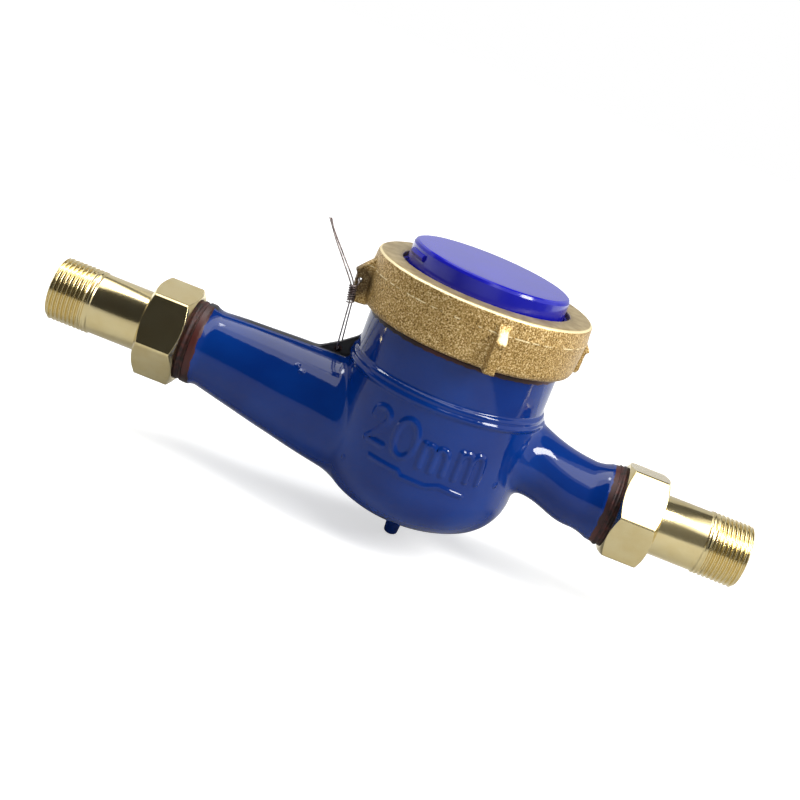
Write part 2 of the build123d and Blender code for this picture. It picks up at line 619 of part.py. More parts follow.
def roller(number):
    """A number roller that turns on the fixed shaft; the first carries the worm wheel."""
    left = roller_x(number) - ROLLER_WIDTH / 2
    plane = Plane(origin=(left, ROLLER_Y, ROLLER_Z), x_dir=(0, 1, 0), z_dir=(1, 0, 0))
    drum = plane * extrude(Circle(ROLLER_R), ROLLER_WIDTH)
    if number == 1:
        hub = plane.offset(ROLLER_WIDTH - 0.2)
        drum += hub * extrude(Circle(1.4), 4.0)
        wheel = Plane(origin=(PLACE["worm"][0] - 0.9, ROLLER_Y, ROLLER_Z), x_dir=(0, 1, 0), z_dir=(1, 0, 0))
        drum += wheel * extrude(gear_blank(WORM_WHEEL_TEETH, WORM_WHEEL_MODULE), 1.8)
    return drum - Pos(0, ROLLER_Y, ROLLER_Z) * Rot(0, 90, 0) * Cylinder(0.8 + FIT, 60)


def roller_shaft():
    return Pos(1.65, ROLLER_Y, ROLLER_Z) * Rot(0, 90, 0) * Cylinder(0.8, 36.1)


def glass_gasket():
    return disc(37.3, REGISTER_SEAT + 2.5, REGISTER_SEAT + 4.5, 33.4)


def glass():
    return disc(37.2, REGISTER_SEAT + 4.5, 60.5)


def friction_washer():
    return disc(37.4, 61.7, RING_LIP_BOTTOM, RING_OPENING_R + 0.4)


def wire_run(points, radius=0.3, bend=1.2):
    """A round wire along straight runs joined by small bends."""
    path = FilletPolyline(*points, radius=bend)
    start = path.line() if isinstance(path, Line) else path
    section = Plane(origin=start @ 0, z_dir=start % 0) * Circle(radius)
    return sweep(section, path=path)


def seal_wire():
    """The sealing wire: through the web, up to its knot, through the lug, two free ends."""
    knot = (-47.15, -16.71, 46.7)
    loop = wire_run([(-47.0, -17.0, 46.4), (-46.95, -16.5, 42.4), (-46.6, -3.0, 20.6), (-46.3, 0, 19.6),
                     (-46.2, 3.0, 20.6), (-47.6, -9.0, 51.7), (-46.64, -12.93, 52.0), (-45.8, -15.9, 51.6),
                     (-47.1, -16.7, 47.0)])
    free = wire_run([knot, (-53.6, -16.7, 56.0), (-61.2, -15.4, 65.4), (-65.6, -13.0, 70.4)])
    other = wire_run([(-46.9, -16.8, 47.0), (-48.4, -16.4, 50.4), (-61.3, -14.7, 65.2), (-64.6, -15.6, 71.0)])
    twist = Pos(*knot) * Sphere(1.2)
    return loop + free + other + twist


PIECES = {
    "meter_body": meter_body,
    "ring_nut": ring_nut,
    "lid": lid,
    "lid_pin": lid_pin,
    "lid_bezel": lid_bezel,
    "friction_washer": friction_washer,
    "glass": glass,
    "glass_gasket": glass_gasket,
    "register_shell": register_shell,
    "register_plate": register_plate,
    "plate_screws": plate_screws,
    "dial": dial,
    "leak_star": leak_star,
    "roller_shaft": roller_shaft,
    "impeller_box": impeller_box,
    "impeller": impeller,
    "pivot": pivot,
    "pivot_jewel": pivot_jewel,
    "chamber_gasket": chamber_gasket,
    "strainer": strainer,
    "inlet_nut": inlet_nut,
    "outlet_nut": outlet_nut,
    "inlet_tail": inlet_tail,
    "outlet_tail": outlet_tail,
    "inlet_washer": inlet_washer,
    "outlet_washer": outlet_washer,
    "seal_wire": seal_wire,
}


def main():
    """Write one file for each piece."""
    os.makedirs("parts", exist_ok=True)
    solids = {}
    for name, make in PIECES.items():
        solids[name] = make()
    for name in PLACE:
        if name != "impeller":
            solids[f"{name}_arbor"] = arbor(name)
    for number in (1, 2, 3, 4):
        solids[f"pointer_{number}"] = pointer(number)
    for number in (1, 2, 3, 4, 5):
        solids[f"roller_{number}"] = roller(number)
    for name, solid in solids.items():
        export_step(TO_ROW * solid, f"parts/{name}.step")


main()
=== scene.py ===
import bpy
import bmesh
import math
import numpy as np
from mathutils import Matrix, Vector, noise


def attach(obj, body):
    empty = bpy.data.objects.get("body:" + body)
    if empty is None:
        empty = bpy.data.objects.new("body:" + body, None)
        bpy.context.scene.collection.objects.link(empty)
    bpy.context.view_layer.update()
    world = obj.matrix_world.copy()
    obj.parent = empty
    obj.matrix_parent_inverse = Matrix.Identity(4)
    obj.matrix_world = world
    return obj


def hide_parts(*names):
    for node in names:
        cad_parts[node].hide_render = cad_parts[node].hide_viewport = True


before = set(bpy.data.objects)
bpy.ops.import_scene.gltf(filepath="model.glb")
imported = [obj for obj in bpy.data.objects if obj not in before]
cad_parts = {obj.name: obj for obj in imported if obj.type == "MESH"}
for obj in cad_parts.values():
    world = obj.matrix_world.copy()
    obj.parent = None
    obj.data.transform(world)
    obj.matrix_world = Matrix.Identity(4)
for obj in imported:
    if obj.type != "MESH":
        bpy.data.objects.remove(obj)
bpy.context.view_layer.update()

# The studio. The camera stands in front of the meter and a little above it, rolled as the
# photograph was, and looks along the lens axis that fits the meter's real sizes.
CAMERA_PLACE = (0.16472, -0.55102, 0.16975)
CAMERA_LOOK = Vector((-0.0319, 0.9594, -0.2803)).normalized()
CAMERA_ROLL = math.radians(21.007)
LENS_LENGTH, SENSOR_WIDTH = 63.91, 36.0
level_right = CAMERA_LOOK.cross(Vector((0, 0, 1))).normalized()
level_up = level_right.cross(CAMERA_LOOK)
camera_right = level_right * math.cos(CAMERA_ROLL) + level_up * math.sin(CAMERA_ROLL)
camera_up = level_up * math.cos(CAMERA_ROLL) - level_right * math.sin(CAMERA_ROLL)
camera_data = bpy.data.cameras.new("camera")
camera_data.lens = LENS_LENGTH
camera_data.sensor_width = SENSOR_WIDTH


def put(name, data):
    """A new object in the scene."""
    thing = bpy.data.objects.new(name, data)
    bpy.context.collection.objects.link(thing)
    return thing


camera = put("camera", camera_data)
camera.matrix_world = Matrix.Translation(CAMERA_PLACE) @ Matrix(
    (camera_right, camera_up, -CAMERA_LOOK)).transposed().to_4x4()
bpy.context.scene.camera = camera
bpy.context.scene.view_settings.view_transform = "Standard"

# The room is white behind the meter, and gives a soft, slightly cool light from all sides. Its
# white shows to the camera, in polished surfaces and through glass.


def linear(colour):
    """Linear colour of an sRGB hex value."""
    parts = [int(colour[place:place + 2], 16) / 255 for place in (1, 3, 5)]
    return [part / 12.92 if part <= 0.04045 else ((part + 0.055) / 1.055) ** 2.4
            for part in parts] + [1.0]


def add_node(tree, kind, inputs=None, **settings):
    """A node of that kind, with its settings. Each input is a plain value or what feeds it."""
    node = tree.nodes.new(kind)
    for name, value in settings.items():
        setattr(node, name, value)
    for socket, value in (inputs or {}).items():
        if isinstance(value, bpy.types.NodeSocket):
            tree.links.new(value, node.inputs[socket])
        else:
            node.inputs[socket].default_value = value
    return node


def combine(tree, operation, *terms):
    """What a math node makes of its terms, each a number or a node's result."""
    return add_node(tree, "ShaderNodeMath", dict(enumerate(terms)), operation=operation).outputs[0]


def seen_directly(tree):
    """One for a ray from the camera, off a polished surface or through glass, otherwise nothing."""
    rays = add_node(tree, "ShaderNodeLightPath").outputs
    seen = combine(tree, "MAXIMUM", rays["Is Camera Ray"], rays["Is Glossy Ray"])
    return combine(tree, "MAXIMUM", seen, rays["Is Transmission Ray"])


world = bpy.data.worlds.new("room")
world.use_nodes = True
bpy.context.scene.world = world
room = world.node_tree
room.nodes.clear()
ROOM_LIGHT, BACKDROP = 0.5, 1.0
soft_light = add_node(room, "ShaderNodeBackground", {"Color": linear("#f7faff"), "Strength": ROOM_LIGHT})
backdrop = add_node(room, "ShaderNodeBackground", {"Color": linear("#ffffff"), "Strength": BACKDROP})
mixed = add_node(room, "ShaderNodeMixShader",
                 {0: seen_directly(room), 1: soft_light.outputs[0], 2: backdrop.outputs[0]})
add_node(room, "ShaderNodeOutputWorld", {"Surface": mixed.outputs[0]})

# A white table stands just under the meter. It keeps the meter's soft shadow, and glows to the
# room's own white a little way off, so no edge shows.


def start_finish(name, **values):
    """A new material, its tree, its shader with those plain values, and the place on the object."""
    material = bpy.data.materials.new(name)
    material.use_nodes = True
    tree = material.node_tree
    tree.nodes.clear()
    shader = add_node(tree, "ShaderNodeBsdfPrincipled", {
        socket.replace("_", " "): value for socket, value in values.items()})
    add_node(tree, "ShaderNodeOutputMaterial", {"Surface": shader.outputs["BSDF"]})
    place = add_node(tree, "ShaderNodeTexCoord").outputs["Object"]
    return material, tree, shader, place


def remap(tree, value, low, high, start=0.0, end=1.0, **settings):
    """A value's way from low to high, turned into a way from start to end and held to it."""
    inputs = {"Value": value, "From Min": low, "From Max": high, "To Min": start, "To Max": end}
    return add_node(tree, "ShaderNodeMapRange", inputs, **settings).outputs["Result"]


MM = 0.001
FLOOR_Z, FLOOR_REACH = -46.4 * MM, 4.0
FADE_CENTRE, FADE_FROM, FADE_TO, NEAR_GLOW = (0.155, 0.0, FLOOR_Z), 0.30, 0.75, 0.58
floor_mesh = bpy.data.meshes.new("floor")
floor_corners = [(x * FLOOR_REACH, y * FLOOR_REACH, FLOOR_Z) for x, y in ((-1, -1), (1, -1), (1, 1), (-1, 1))]
floor_mesh.from_pydata(floor_corners, [], [(0, 1, 2, 3)])
floor = put("floor", floor_mesh)
table_top, tree, shader, place = start_finish("white_table", Base_Color=linear("#cececd"), Roughness=0.8,
                                              Emission_Color=linear("#ffffff"), Specular_IOR_Level=0.0)
from_meter = add_node(tree, "ShaderNodeVectorMath", {0: place, 1: FADE_CENTRE}, operation="DISTANCE")
far = remap(tree, from_meter.outputs["Value"], FADE_FROM, FADE_TO, interpolation_type="SMOOTHSTEP")
camera_rays = add_node(tree, "ShaderNodeLightPath").outputs["Is Camera Ray"]
near_glow = combine(tree, "MULTIPLY", camera_rays, NEAR_GLOW)
far_glow = combine(tree, "MULTIPLY", seen_directly(tree), far)
tree.links.new(combine(tree, "MAXIMUM", near_glow, far_glow), shader.inputs["Emission Strength"])
floor_mesh.materials.append(table_top)

# One long soft box hangs over the meter, and two narrow ones stand for windows. Each lamp has its
# place, its target, its width and length in metres, its turn, its power and its tint.


def soft_box(name, place, target, width, length, turn, power, colour):
    """A flat studio lamp that faces its target."""
    lamp = bpy.data.lights.new(name, "AREA")
    lamp.shape = "RECTANGLE"
    lamp.size = width
    lamp.size_y = length
    lamp.energy = power
    lamp.color = colour
    holder = put(name, lamp)
    aim = (Vector(target) - Vector(place)).to_track_quat("-Z", "Y").to_matrix().to_4x4()
    holder.matrix_world = Matrix.Translation(place) @ aim @ Matrix.Rotation(math.radians(turn), 4, "Z")


soft_box("overhead", (0.125, -0.12, 0.85), (0.125, -0.12, 0.0), 0.62, 1.5, 40.5, 7.0, (1.0, 0.99, 0.97))
soft_box("window", (0.80, -0.28, 0.58), (0.16, 0.0, 0.02), 0.22, 0.5, 0.0, 8.5, (1.0, 0.99, 0.97))
soft_box("left_window", (-0.35, 0.15, 0.75), (0.16, 0.0, 0.02), 0.15, 0.4, 0.0, 2.5, (0.96, 0.98, 1.0))

# Cloths and cards stand around the table. Only polished surfaces show them, as the darker bands that a
# studio's walls and floor leave on brass and enamel. The cloths are no lamps, yet each glows faintly by its
# own emission, changing from left to right.
STUDIO_REACH, STUDIO_CENTRE = 1.3, 0.15
CLOTH_ROWS = 5
SHADE_FROM, SHADE_TO = 0.0, 0.5


def stand_cloth(name, corners, faces, finish):
    """A sheet that only reflections see."""
    mesh = bpy.data.meshes.new(name)
    mesh.from_pydata(corners, [], faces)
    mesh.materials.append(finish)
    sheet = put(name, mesh)
    sheet.visible_camera = False
    sheet.visible_diffuse = False
    sheet.visible_shadow = False
    sheet.visible_transmission = False


def hang_cloth(name, left_glow, right_glow, *columns):
    """A curved cloth around the meter. A column is its direction, low edge and high edge, in degrees."""
    corners = []
    for direction, low, high in columns:
        for rise in np.radians(np.linspace(low, high, CLOTH_ROWS)):
            turn = math.radians(direction)
            corners.append((STUDIO_CENTRE + STUDIO_REACH * math.cos(rise) * math.cos(turn),
                            STUDIO_REACH * math.cos(rise) * math.sin(turn), STUDIO_REACH * math.sin(rise)))
    faces = []
    for column in range(len(columns) - 1):
        for start in range(column * CLOTH_ROWS, (column + 1) * CLOTH_ROWS - 1):
            faces.append((start, start + 1, start + CLOTH_ROWS + 1, start + CLOTH_ROWS))
    cloth, tree, shader, place = start_finish(name, Base_Color=linear("#000000"), Roughness=1.0,
                                              Emission_Color=linear("#ffffff"), Specular_IOR_Level=0.0)
    across = add_node(tree, "ShaderNodeSeparateXYZ", {"Vector": place}).outputs["X"]
    shade = remap(tree, across, SHADE_FROM, SHADE_TO, left_glow, right_glow)
    tree.links.new(shade, shader.inputs["Emission Strength"])
    stand_cloth(name, corners, faces, cloth)


hang_cloth("front_cloth", 0.04, 0.17, (-185, -3, 70), (-150, -3, 78), (-120, -3, 78), (-104, -3, 74),
           (-92, -3, 50), (-75, -3, 37), (-50, -3, 36), (-32, -3, 36))
hang_cloth("back_screen", 0.68, 0.6, (172, -3, 33), (130, -3, 33), (100, -3, 34), (75, -3, 37),
           (50, -3, 39), (30, -3, 39))
hang_cloth("back_cloth", 0.05, 0.1, (170, 36, 43), (115, 36, 46), (90, 38, 56), (60, 39, 64),
           (30, 41, 66), (0, 44, 64), (-12, 46, 60))
for name, paper, colour, (left, right), (front, back), lift in (
        ("table_card", "grey_card", "#a6a6a4", (-0.6, 1.4), (-1.0, 0.2), 0.2),
        ("side_card", "dark_card", "#595959", (0.43, 1.8), (-1.0, 0.05), 0.4)):
    card_z = FLOOR_Z + lift * MM
    corners = [(left, front, card_z), (right, front, card_z), (right, back, card_z), (left, back, card_z)]
    card = start_finish(paper, Base_Color=linear(colour), Roughness=1.0)[0]
    stand_cloth(name, corners, [(0, 1, 2, 3)], card)


# The body is one iron casting. Its neck and ports are machined and left bare where ring and nuts
# go, so the iron there is dull, with a thin red-brown bloom of rust.


def clouds(tree, place, size, detail, **inputs):
    """Noise on the object, with patches of that size in millimetres."""
    return add_node(tree, "ShaderNodeTexNoise", {
        "Vector": place, "Scale": 1 / (size * MM), "Detail": detail, **inputs}).outputs["Fac"]


def toned(tree, value, *stops):
    """Colours over a value. Each stop is a position and an sRGB hex value."""
    ramp = add_node(tree, "ShaderNodeValToRGB", {"Fac": value})
    held = ramp.color_ramp.elements
    while len(held) < len(stops):
        held.new(0.5)
    for stop, (position, colour) in zip(held, stops):
        stop.position = position
        stop.color = linear(colour)
    return ramp.outputs["Color"]


def give_skin(tree, shader, colour, height, strength, depth):
    """The shader takes a colour and a relief of that strength and that depth in millimetres."""
    bump = add_node(tree, "ShaderNodeBump", {"Height": height, "Strength": strength, "Distance": depth * MM})
    tree.links.new(colour, shader.inputs["Base Color"])
    tree.links.new(bump.outputs["Normal"], shader.inputs["Normal"])


def give_finish(material, *names):
    """The CAD nodes of those names take the material."""
    for name in names:
        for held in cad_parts[name].material_slots:
            held.material = material


iron, tree, shader, place = start_finish("bare_cast_iron", Metallic=0.2, Roughness=0.55)
bloom = clouds(tree, place, 2.2, 4.0)
iron_tone = toned(tree, bloom, (0.35, "#140706"), (0.72, "#451a14"))
give_skin(tree, shader, iron_tone, bloom, 0.4, 0.15)
give_finish(iron, "meter_body")

# Stoved enamel covers the outside of the casting. It is sprayed thick, so it rounds every inner
# corner and the raised figures, and it stops short of the ring nut and of both port threads.
# All its sizes are in millimetres from the bowl's upright axis and the height of the pipe axis.
REGISTER_X = 162.0
COAT, SAG = 0.22, 0.05
WALL_R, NECK_R, DOME_R, CORNER_R, BOWL_BOTTOM = 40.1, 39.2, 63.0, 19.2, -37.0
NECK_FROM, NECK_BLEND = 23.2, 2.6
COAT_FROM, COAT_TO, COAT_TOP = -101.15, 77.1, 42.5
BEADS = ((39.73, 22.02, 1.28), (39.03, 24.44, 1.37))
CONE_ROWS = ((-106, 0.3, 14.3, 14.3), (-95, -0.42, 16.0, 16.0), (-85, -1.24, 17.42, 17.42),
             (-74, -2.27, 18.9, 18.9), (-62, -3.42, 20.41, 20.41), (-49, -4.66, 21.89, 21.89),
             (-33, -6.14, 23.39, 23.39), (-24, -7.0, 24.0, 24.0))
BEND_ROWS = ((30.0, 8.0, 20.03, 17.22), (34.0, 7.75, 19.71, 17.2), (36.5, 7.4, 18.4, 16.6),
             (38.0, 7.14, 17.48, 16.13), (40.0, 6.74, 16.33, 15.48), (42.0, 6.3, 15.4, 14.9),
             (44.0, 5.81, 14.72, 14.44), (46.0, 5.27, 14.27, 14.12), (48.3, 4.6, 14.0, 13.9),
             (51.0, 3.74, 13.92, 13.84), (54.0, 2.76, 14.0, 13.95), (56.4, 2.0, 14.1, 14.1),
             (60.0, 1.05, 14.21, 14.29), (63.0, 0.53, 14.23, 14.32), (66.0, 0.3, 14.2, 14.2),
             (80.0, 0.0, 14.3, 14.3))
# A slope is its radius and its start along the axis, then its rise, its run and its length.
NUB_R, NUB_EDGE_Z, NUB_DRAFT, NUB_BOTTOM = 2.65, -45.1, 0.076, -45.8
NUB_SLOPE = (2.0, -45.8, 0.7, -0.6, 0.922)
INLET_COLLAR_R, INLET_SLOPE = 17.0, (17.0, -99.1, 4.1, 1.8, 4.478)
OUTLET_SLOPES = ((16.2, 76.9, 2.8, -0.3, 2.816), (15.9, 74.1, 4.1, -1.7, 4.438))
WEB_TOP = (((-46.5, 22.4), (-0.531, 0.847)), ((-46.5, 22.4), (-0.617, 0.787)))
WEB_FOOT = ((-55.6, 16.2), (-0.78, 0.625))
WEB_HALF, WEB_END, WEB_HOLE_X, WEB_HOLE_Z, WEB_HOLE_R = 1.5, -30.0, -46.3, 19.6, 1.55
FIGURE_R, FIGURE_HALF, MARK_R, MARK_HALF = 39.7, 1.15, 39.8, 0.85
FIGURE_CURVES = (
    ((-22.6, 10.3), (-22.0, 12.8), (-20.0, 14.3), (-17.6, 14.1), (-16.0, 12.2), (-16.1, 9.5),
     (-18.3, 5.8), (-22.5, 0.3)),
    ((-22.5, 0.3), (-15.0, 0.3)),
    ((-7.1, 14.4), (-9.6, 13.1), (-11.1, 9.4), (-11.2, 4.7), (-9.9, 0.8), (-7.2, -0.7), (-4.6, 0.6),
     (-3.0, 4.4), (-3.0, 9.2), (-4.5, 13.0), (-7.1, 14.4)),
    ((0.9, -1.3), (0.9, 8.2)),
    ((0.9, 5.4), (1.6, 7.2), (3.1, 8.0), (4.8, 7.3), (5.6, 5.2), (5.7, 1.8), (5.7, -1.4)),
    ((5.7, 5.4), (6.4, 7.2), (7.9, 8.0), (9.5, 7.2), (10.3, 5.0), (10.5, 1.8), (10.5, -1.5)),
    ((15.5, -1.7), (15.5, 9.0)),
    ((15.5, 6.0), (16.3, 8.1), (18.0, 9.0), (19.6, 8.3), (20.4, 6.0), (20.6, 2.0), (20.6, -1.8)),
    ((20.6, 6.0), (21.5, 8.1), (23.2, 9.0), (24.8, 8.2), (25.6, 6.0), (25.8, 2.0), (25.8, -1.9)))
FLOW_MARK = ((-18.4, -5.7), (-5.8, -6.2), (-4.3, -7.7), (6.0, -8.1), (11.1, -6.5), (21.2, -8.2))
CASTING_PIPS = ((-26.9, -29.4, -12.6, 0.8), (31.3, -25.0, -2.0, 0.9), (-57.4, -15.2, 11.0, 0.55),
                (-55.3, -16.7, 9.6, 0.75))


def link_piece(name, mesh, body, material):
    """A new piece of the meter, of one material, that rides on a body."""
    mesh.materials.append(material)
    piece = put(name, mesh)
    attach(piece, body)
    return piece


def smooth_curve(points, steps=4):
    """Points along a smooth curve that passes through all the given ones."""
    marks = np.array(points, float)
    if len(marks) < 3:
        return marks
    loop = np.allclose(marks[0], marks[-1])
    before = marks[-2] if loop else 2 * marks[0] - marks[1]
    after = marks[1] if loop else 2 * marks[-1] - marks[-2]
    held = np.vstack((before, marks, after))
    drawn = []
    for index in range(1, len(held) - 2):
        p0, p1, p2, p3 = held[index - 1:index + 3]
        for part in np.arange(steps) / steps:
            bend, twist = 2 * p0 - 5 * p1 + 4 * p2 - p3, 3 * p1 - p0 - 3 * p2 + p3
            drawn.append(0.5 * (2 * p1 + (p2 - p0) * part + bend * part ** 2 + twist * part ** 3))
    return np.array(drawn + [marks[-1]])


def rounded_join(first, second, fillet):
    """The union of two forms, given by their distances, with a fillet between them."""
    share = np.clip(0.5 + 0.5 * (second - first) / fillet, 0, 1)
    return second * (1 - share) + first * share - fillet * share * (1 - share)


def slope_distance(radial, along, slope):
    """Distance from a cone about an axis."""
    radius, start, rise, run, length = slope
    return ((radial - radius) * rise + (along - start) * run) / length


def duct_distance(x, y, z, rows):
    """Distance from a lofted duct whose rows give x, centre height, half width and half height."""
    table = np.array(rows, float)
    slope = np.gradient(table[:, 1:], table[:, 0], axis=0)
    index = np.clip(np.searchsorted(table[:, 0], x) - 1, 0, len(rows) - 2)
    span = table[index + 1, 0] - table[index, 0]
    part = np.clip((x - table[index, 0]) / span, 0, 1)[:, None]
    low, high = table[index, 1:], table[index + 1, 1:]
    low_slope, high_slope = slope[index] * span[:, None], slope[index + 1] * span[:, None]
    centre, wide, tall = (low * (1 + 2 * part) * (1 - part) ** 2 + low_slope * part * (1 - part) ** 2
                          + high * part ** 2 * (3 - 2 * part) + high_slope * part ** 2 * (part - 1)).T
    ratio = np.hypot(y / wide, (z - centre) / tall)
    steepness = np.maximum(np.hypot(y / wide ** 2, (z - centre) / tall ** 2), 1e-3)
    return (ratio - 1) * np.maximum(ratio, 0.05) / steepness


def stroke_distance(along, height, stroke):
    """Distance in the bowl's unrolled wall from the nearest part of a stroke."""
    nearest = np.full(len(along), 1e9)
    for (x0, z0), (x1, z1) in zip(stroke[:-1], stroke[1:]):
        run, rise = x1 - x0, z1 - z0
        part = np.clip(((along - x0) * run + (height - z0) * rise) / (run * run + rise * rise), 0, 1)
        nearest = np.minimum(nearest, np.hypot(along - x0 - part * run, height - z0 - part * rise))
    return nearest


FIGURE_STROKES = [smooth_curve(points) for points in FIGURE_CURVES]


def enamel_distance(points):
    """Signed distance in millimetres from the enamel's surface, negative inside the casting."""
    x, y, z = points.T
    radial = np.hypot(x, y)
    reach = WALL_R - CORNER_R
    lean = math.asin(reach / (DOME_R - CORNER_R))
    dome_z = BOWL_BOTTOM + DOME_R
    corner_z = dome_z - (DOME_R - CORNER_R) * math.cos(lean)
    to_neck = np.clip((z - NECK_FROM) / NECK_BLEND, 0, 1)
    wall = radial - WALL_R + (WALL_R - NECK_R) * to_neck ** 2 * (3 - 2 * to_neck)
    corner = np.hypot(radial - reach, z - corner_z) - CORNER_R
    dome = np.hypot(radial, z - dome_z) - DOME_R
    vessel = np.where(z > corner_z, wall, np.where(np.arctan2(radial, dome_z - z) < lean, dome, corner))
    for bead_r, bead_z, thick in BEADS:
        vessel = rounded_join(vessel, np.hypot(radial - bead_r, z - bead_z) - thick, fillet=0.7)
    nub = np.maximum(radial - NUB_R - NUB_DRAFT * (z - NUB_EDGE_Z), slope_distance(radial, z, NUB_SLOPE))
    vessel = rounded_join(vessel, np.maximum(nub, NUB_BOTTOM - z), fillet=2.0)

    pipe = np.hypot(y, z)
    cone = np.maximum(duct_distance(x, y, z, CONE_ROWS), x + 20)
    collar = np.maximum(pipe - INLET_COLLAR_R, slope_distance(pipe, x, INLET_SLOPE))
    cone = rounded_join(cone, collar, fillet=1.0)
    bend = np.maximum(duct_distance(x, y, z, BEND_ROWS), 26 - x)
    collar = np.maximum(*[slope_distance(pipe, x, slope) for slope in OUTLET_SLOPES])
    bend = rounded_join(bend, collar, fillet=1.2)
    form = rounded_join(rounded_join(vessel, cone, fillet=3.2), bend, fillet=3.0)

    tops = [(x - edge_x) * out_x + (z - edge_z) * out_z for (edge_x, edge_z), (out_x, out_z) in WEB_TOP]
    (edge_x, edge_z), (out_x, out_z) = WEB_FOOT
    web = np.maximum(np.minimum(*tops), (x - edge_x) * out_x + (z - edge_z) * out_z)
    web = np.maximum(np.maximum(web, np.abs(y) - WEB_HALF), x - WEB_END)
    form = rounded_join(form, web, fillet=1.6)
    form = np.maximum(form, WEB_HOLE_R - np.hypot(x - WEB_HOLE_X, z - WEB_HOLE_Z))

    front = (y < -28) & (z > -12) & (z < 18) & (radial > 37)
    along, height, depth = np.arctan2(x, -y)[front] * WALL_R, z[front], radial[front]
    marks = np.full(len(along), 99.0)
    for stroke in FIGURE_STROKES:
        figure = np.hypot(stroke_distance(along, height, stroke), depth - FIGURE_R) - FIGURE_HALF
        marks = rounded_join(marks, figure, fillet=0.4)
    flow_mark = np.hypot(stroke_distance(along, height, FLOW_MARK), depth - MARK_R) - MARK_HALF
    form[front] = rounded_join(form[front], np.minimum(marks, flow_mark), fillet=0.8)
    for pip_x, pip_y, pip_z, thick in CASTING_PIPS:
        pip = np.sqrt((x - pip_x) ** 2 + (y - pip_y) ** 2 + (z - pip_z) ** 2) - thick
        form = rounded_join(form, pip, fillet=0.6)
    along_sag, upright_sag = np.sin(x / 4.1 + 1.3 * np.sin(z / 6.3)), np.sin(z / 3.7 + 1.1 * np.sin(y / 5.1))
    return form - COAT - SAG * (along_sag * upright_sag * np.sin(y / 4.6 + 0.7))


def enamel_slope(points):
    """Outward direction of the enamel at each point."""
    step = 0.02
    slope = np.empty_like(points)
    for axis in range(3):
        shift = np.zeros(3)
        shift[axis] = step
        slope[:, axis] = (enamel_distance(points + shift) - enamel_distance(points - shift)) / (2 * step)
    return slope


def mesh_points(mesh):
    """A mesh's vertices in millimetres about the register axis."""
    flat = np.empty(len(mesh.vertices) * 3)
    mesh.vertices.foreach_get("co", flat)
    return flat.reshape(-1, 3) / MM - (REGISTER_X, 0, 0)


def put_points(mesh, points):
    """Moves a mesh's vertices to points in millimetres about the register axis."""
    mesh.vertices.foreach_set("co", ((points + (REGISTER_X, 0, 0)) * MM).ravel())
    mesh.update()


def evenly_meshed(name, grid):
    """A CAD node's surface as even squares of about that size in millimetres."""
    draft = put("draft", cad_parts[name].data.copy())
    even = draft.modifiers.new("even", "REMESH")
    even.mode = "VOXEL"
    even.voxel_size = grid * MM
    mesh = bpy.data.meshes.new_from_object(draft.evaluated_get(bpy.context.evaluated_depsgraph_get()))
    bpy.data.objects.remove(draft)
    mesh.materials.clear()
    mesh.polygons.foreach_set("use_smooth", [True] * len(mesh.polygons))
    return mesh


def finer(shape, chosen):
    """Each chosen face of a bmesh is cut in four."""
    origin = Vector((REGISTER_X, 0, 0))
    edges = {edge for face in shape.faces if chosen(face.calc_center_median() / MM - origin)
             for edge in face.edges}
    bmesh.ops.subdivide_edges(shape, edges=list(edges), cuts=1, use_grid_fill=True)


def near_marks(spot):
    """Whether a spot lies about the raised figures and the flow mark."""
    return spot.y < -22 and -11.5 < spot.z < 17.5 and math.hypot(spot.x, spot.y) > 38


def near_detail(spot):
    """Whether a spot lies about the marks, the beads, the web, the nub or a collar."""
    radial = math.hypot(spot.x, spot.y)
    on_bead = 19.5 < spot.z < 27.5 and radial > 37 and spot.x > -60
    on_web = abs(spot.y) < 3.2 and -58 < spot.x < -37 and spot.z > 14
    on_nub = radial < 6 and spot.z < -35
    return near_marks(spot) or on_bead or on_web or on_nub or spot.x < -93 or spot.x > 67


COAT_GRID, COAT_REACH, FITTING_ROUNDS = 1.1, 1.9, 6
coat_mesh = evenly_meshed("meter_body", COAT_GRID)
shape = bmesh.new()
shape.from_mesh(coat_mesh)
depth = enamel_distance(mesh_points(coat_mesh))
shape.verts.ensure_lookup_table()
inner_verts = [shape.verts[index] for index in np.nonzero(np.abs(depth) > COAT_REACH)[0]]
bmesh.ops.delete(shape, geom=inner_verts, context="VERTS")
finer(shape, near_detail)
finer(shape, near_marks)
shape.to_mesh(coat_mesh)
shape.free()
points = mesh_points(coat_mesh)
for fitting in range(FITTING_ROUNDS):
    slope = enamel_slope(points)
    points -= slope * (enamel_distance(points) / np.maximum((slope ** 2).sum(axis=1), 0.2))[:, None]
put_points(coat_mesh, points)
shape = bmesh.new()
shape.from_mesh(coat_mesh)
for spot, out in (((REGISTER_X + COAT_FROM, 0, 0), (-1, 0, 0)), ((REGISTER_X + COAT_TO, 0, 0), (1, 0, 0)),
                  ((0, 0, COAT_TOP), (0, 0, 1))):
    bmesh.ops.bisect_plane(shape, geom=shape.verts[:] + shape.edges[:] + shape.faces[:],
                           plane_co=Vector(spot) * MM, plane_no=out, clear_outer=True)
shape.to_mesh(coat_mesh)
shape.free()
coat_mesh.polygons.foreach_set("use_smooth", [True] * len(coat_mesh.polygons))
slope = enamel_slope(mesh_points(coat_mesh))
slope /= np.linalg.norm(slope, axis=1)[:, None]
coat_mesh.normals_split_custom_set_from_vertices(slope.tolist())

# The enamel is deep blue and glossy, with the faint orange peel of a sprayed coat. Brown primer shows at its
# three edges, and painted shade turns the seal web's face near black. Both are much duller.
PRIMER_FROM_INLET, PRIMER_FROM_OUTLET, PRIMER_FROM_RING, PRIMER_EDGE = -98.2, 75.0, 41.2, 0.3
WEB_SHADE_X, WEB_SHADE_Z, WEB_SHADE_SIDE = -38.5, 15.5, 2.0
ENAMEL_ROUGHNESS, PRIMER_ROUGHNESS = 0.07, 0.45


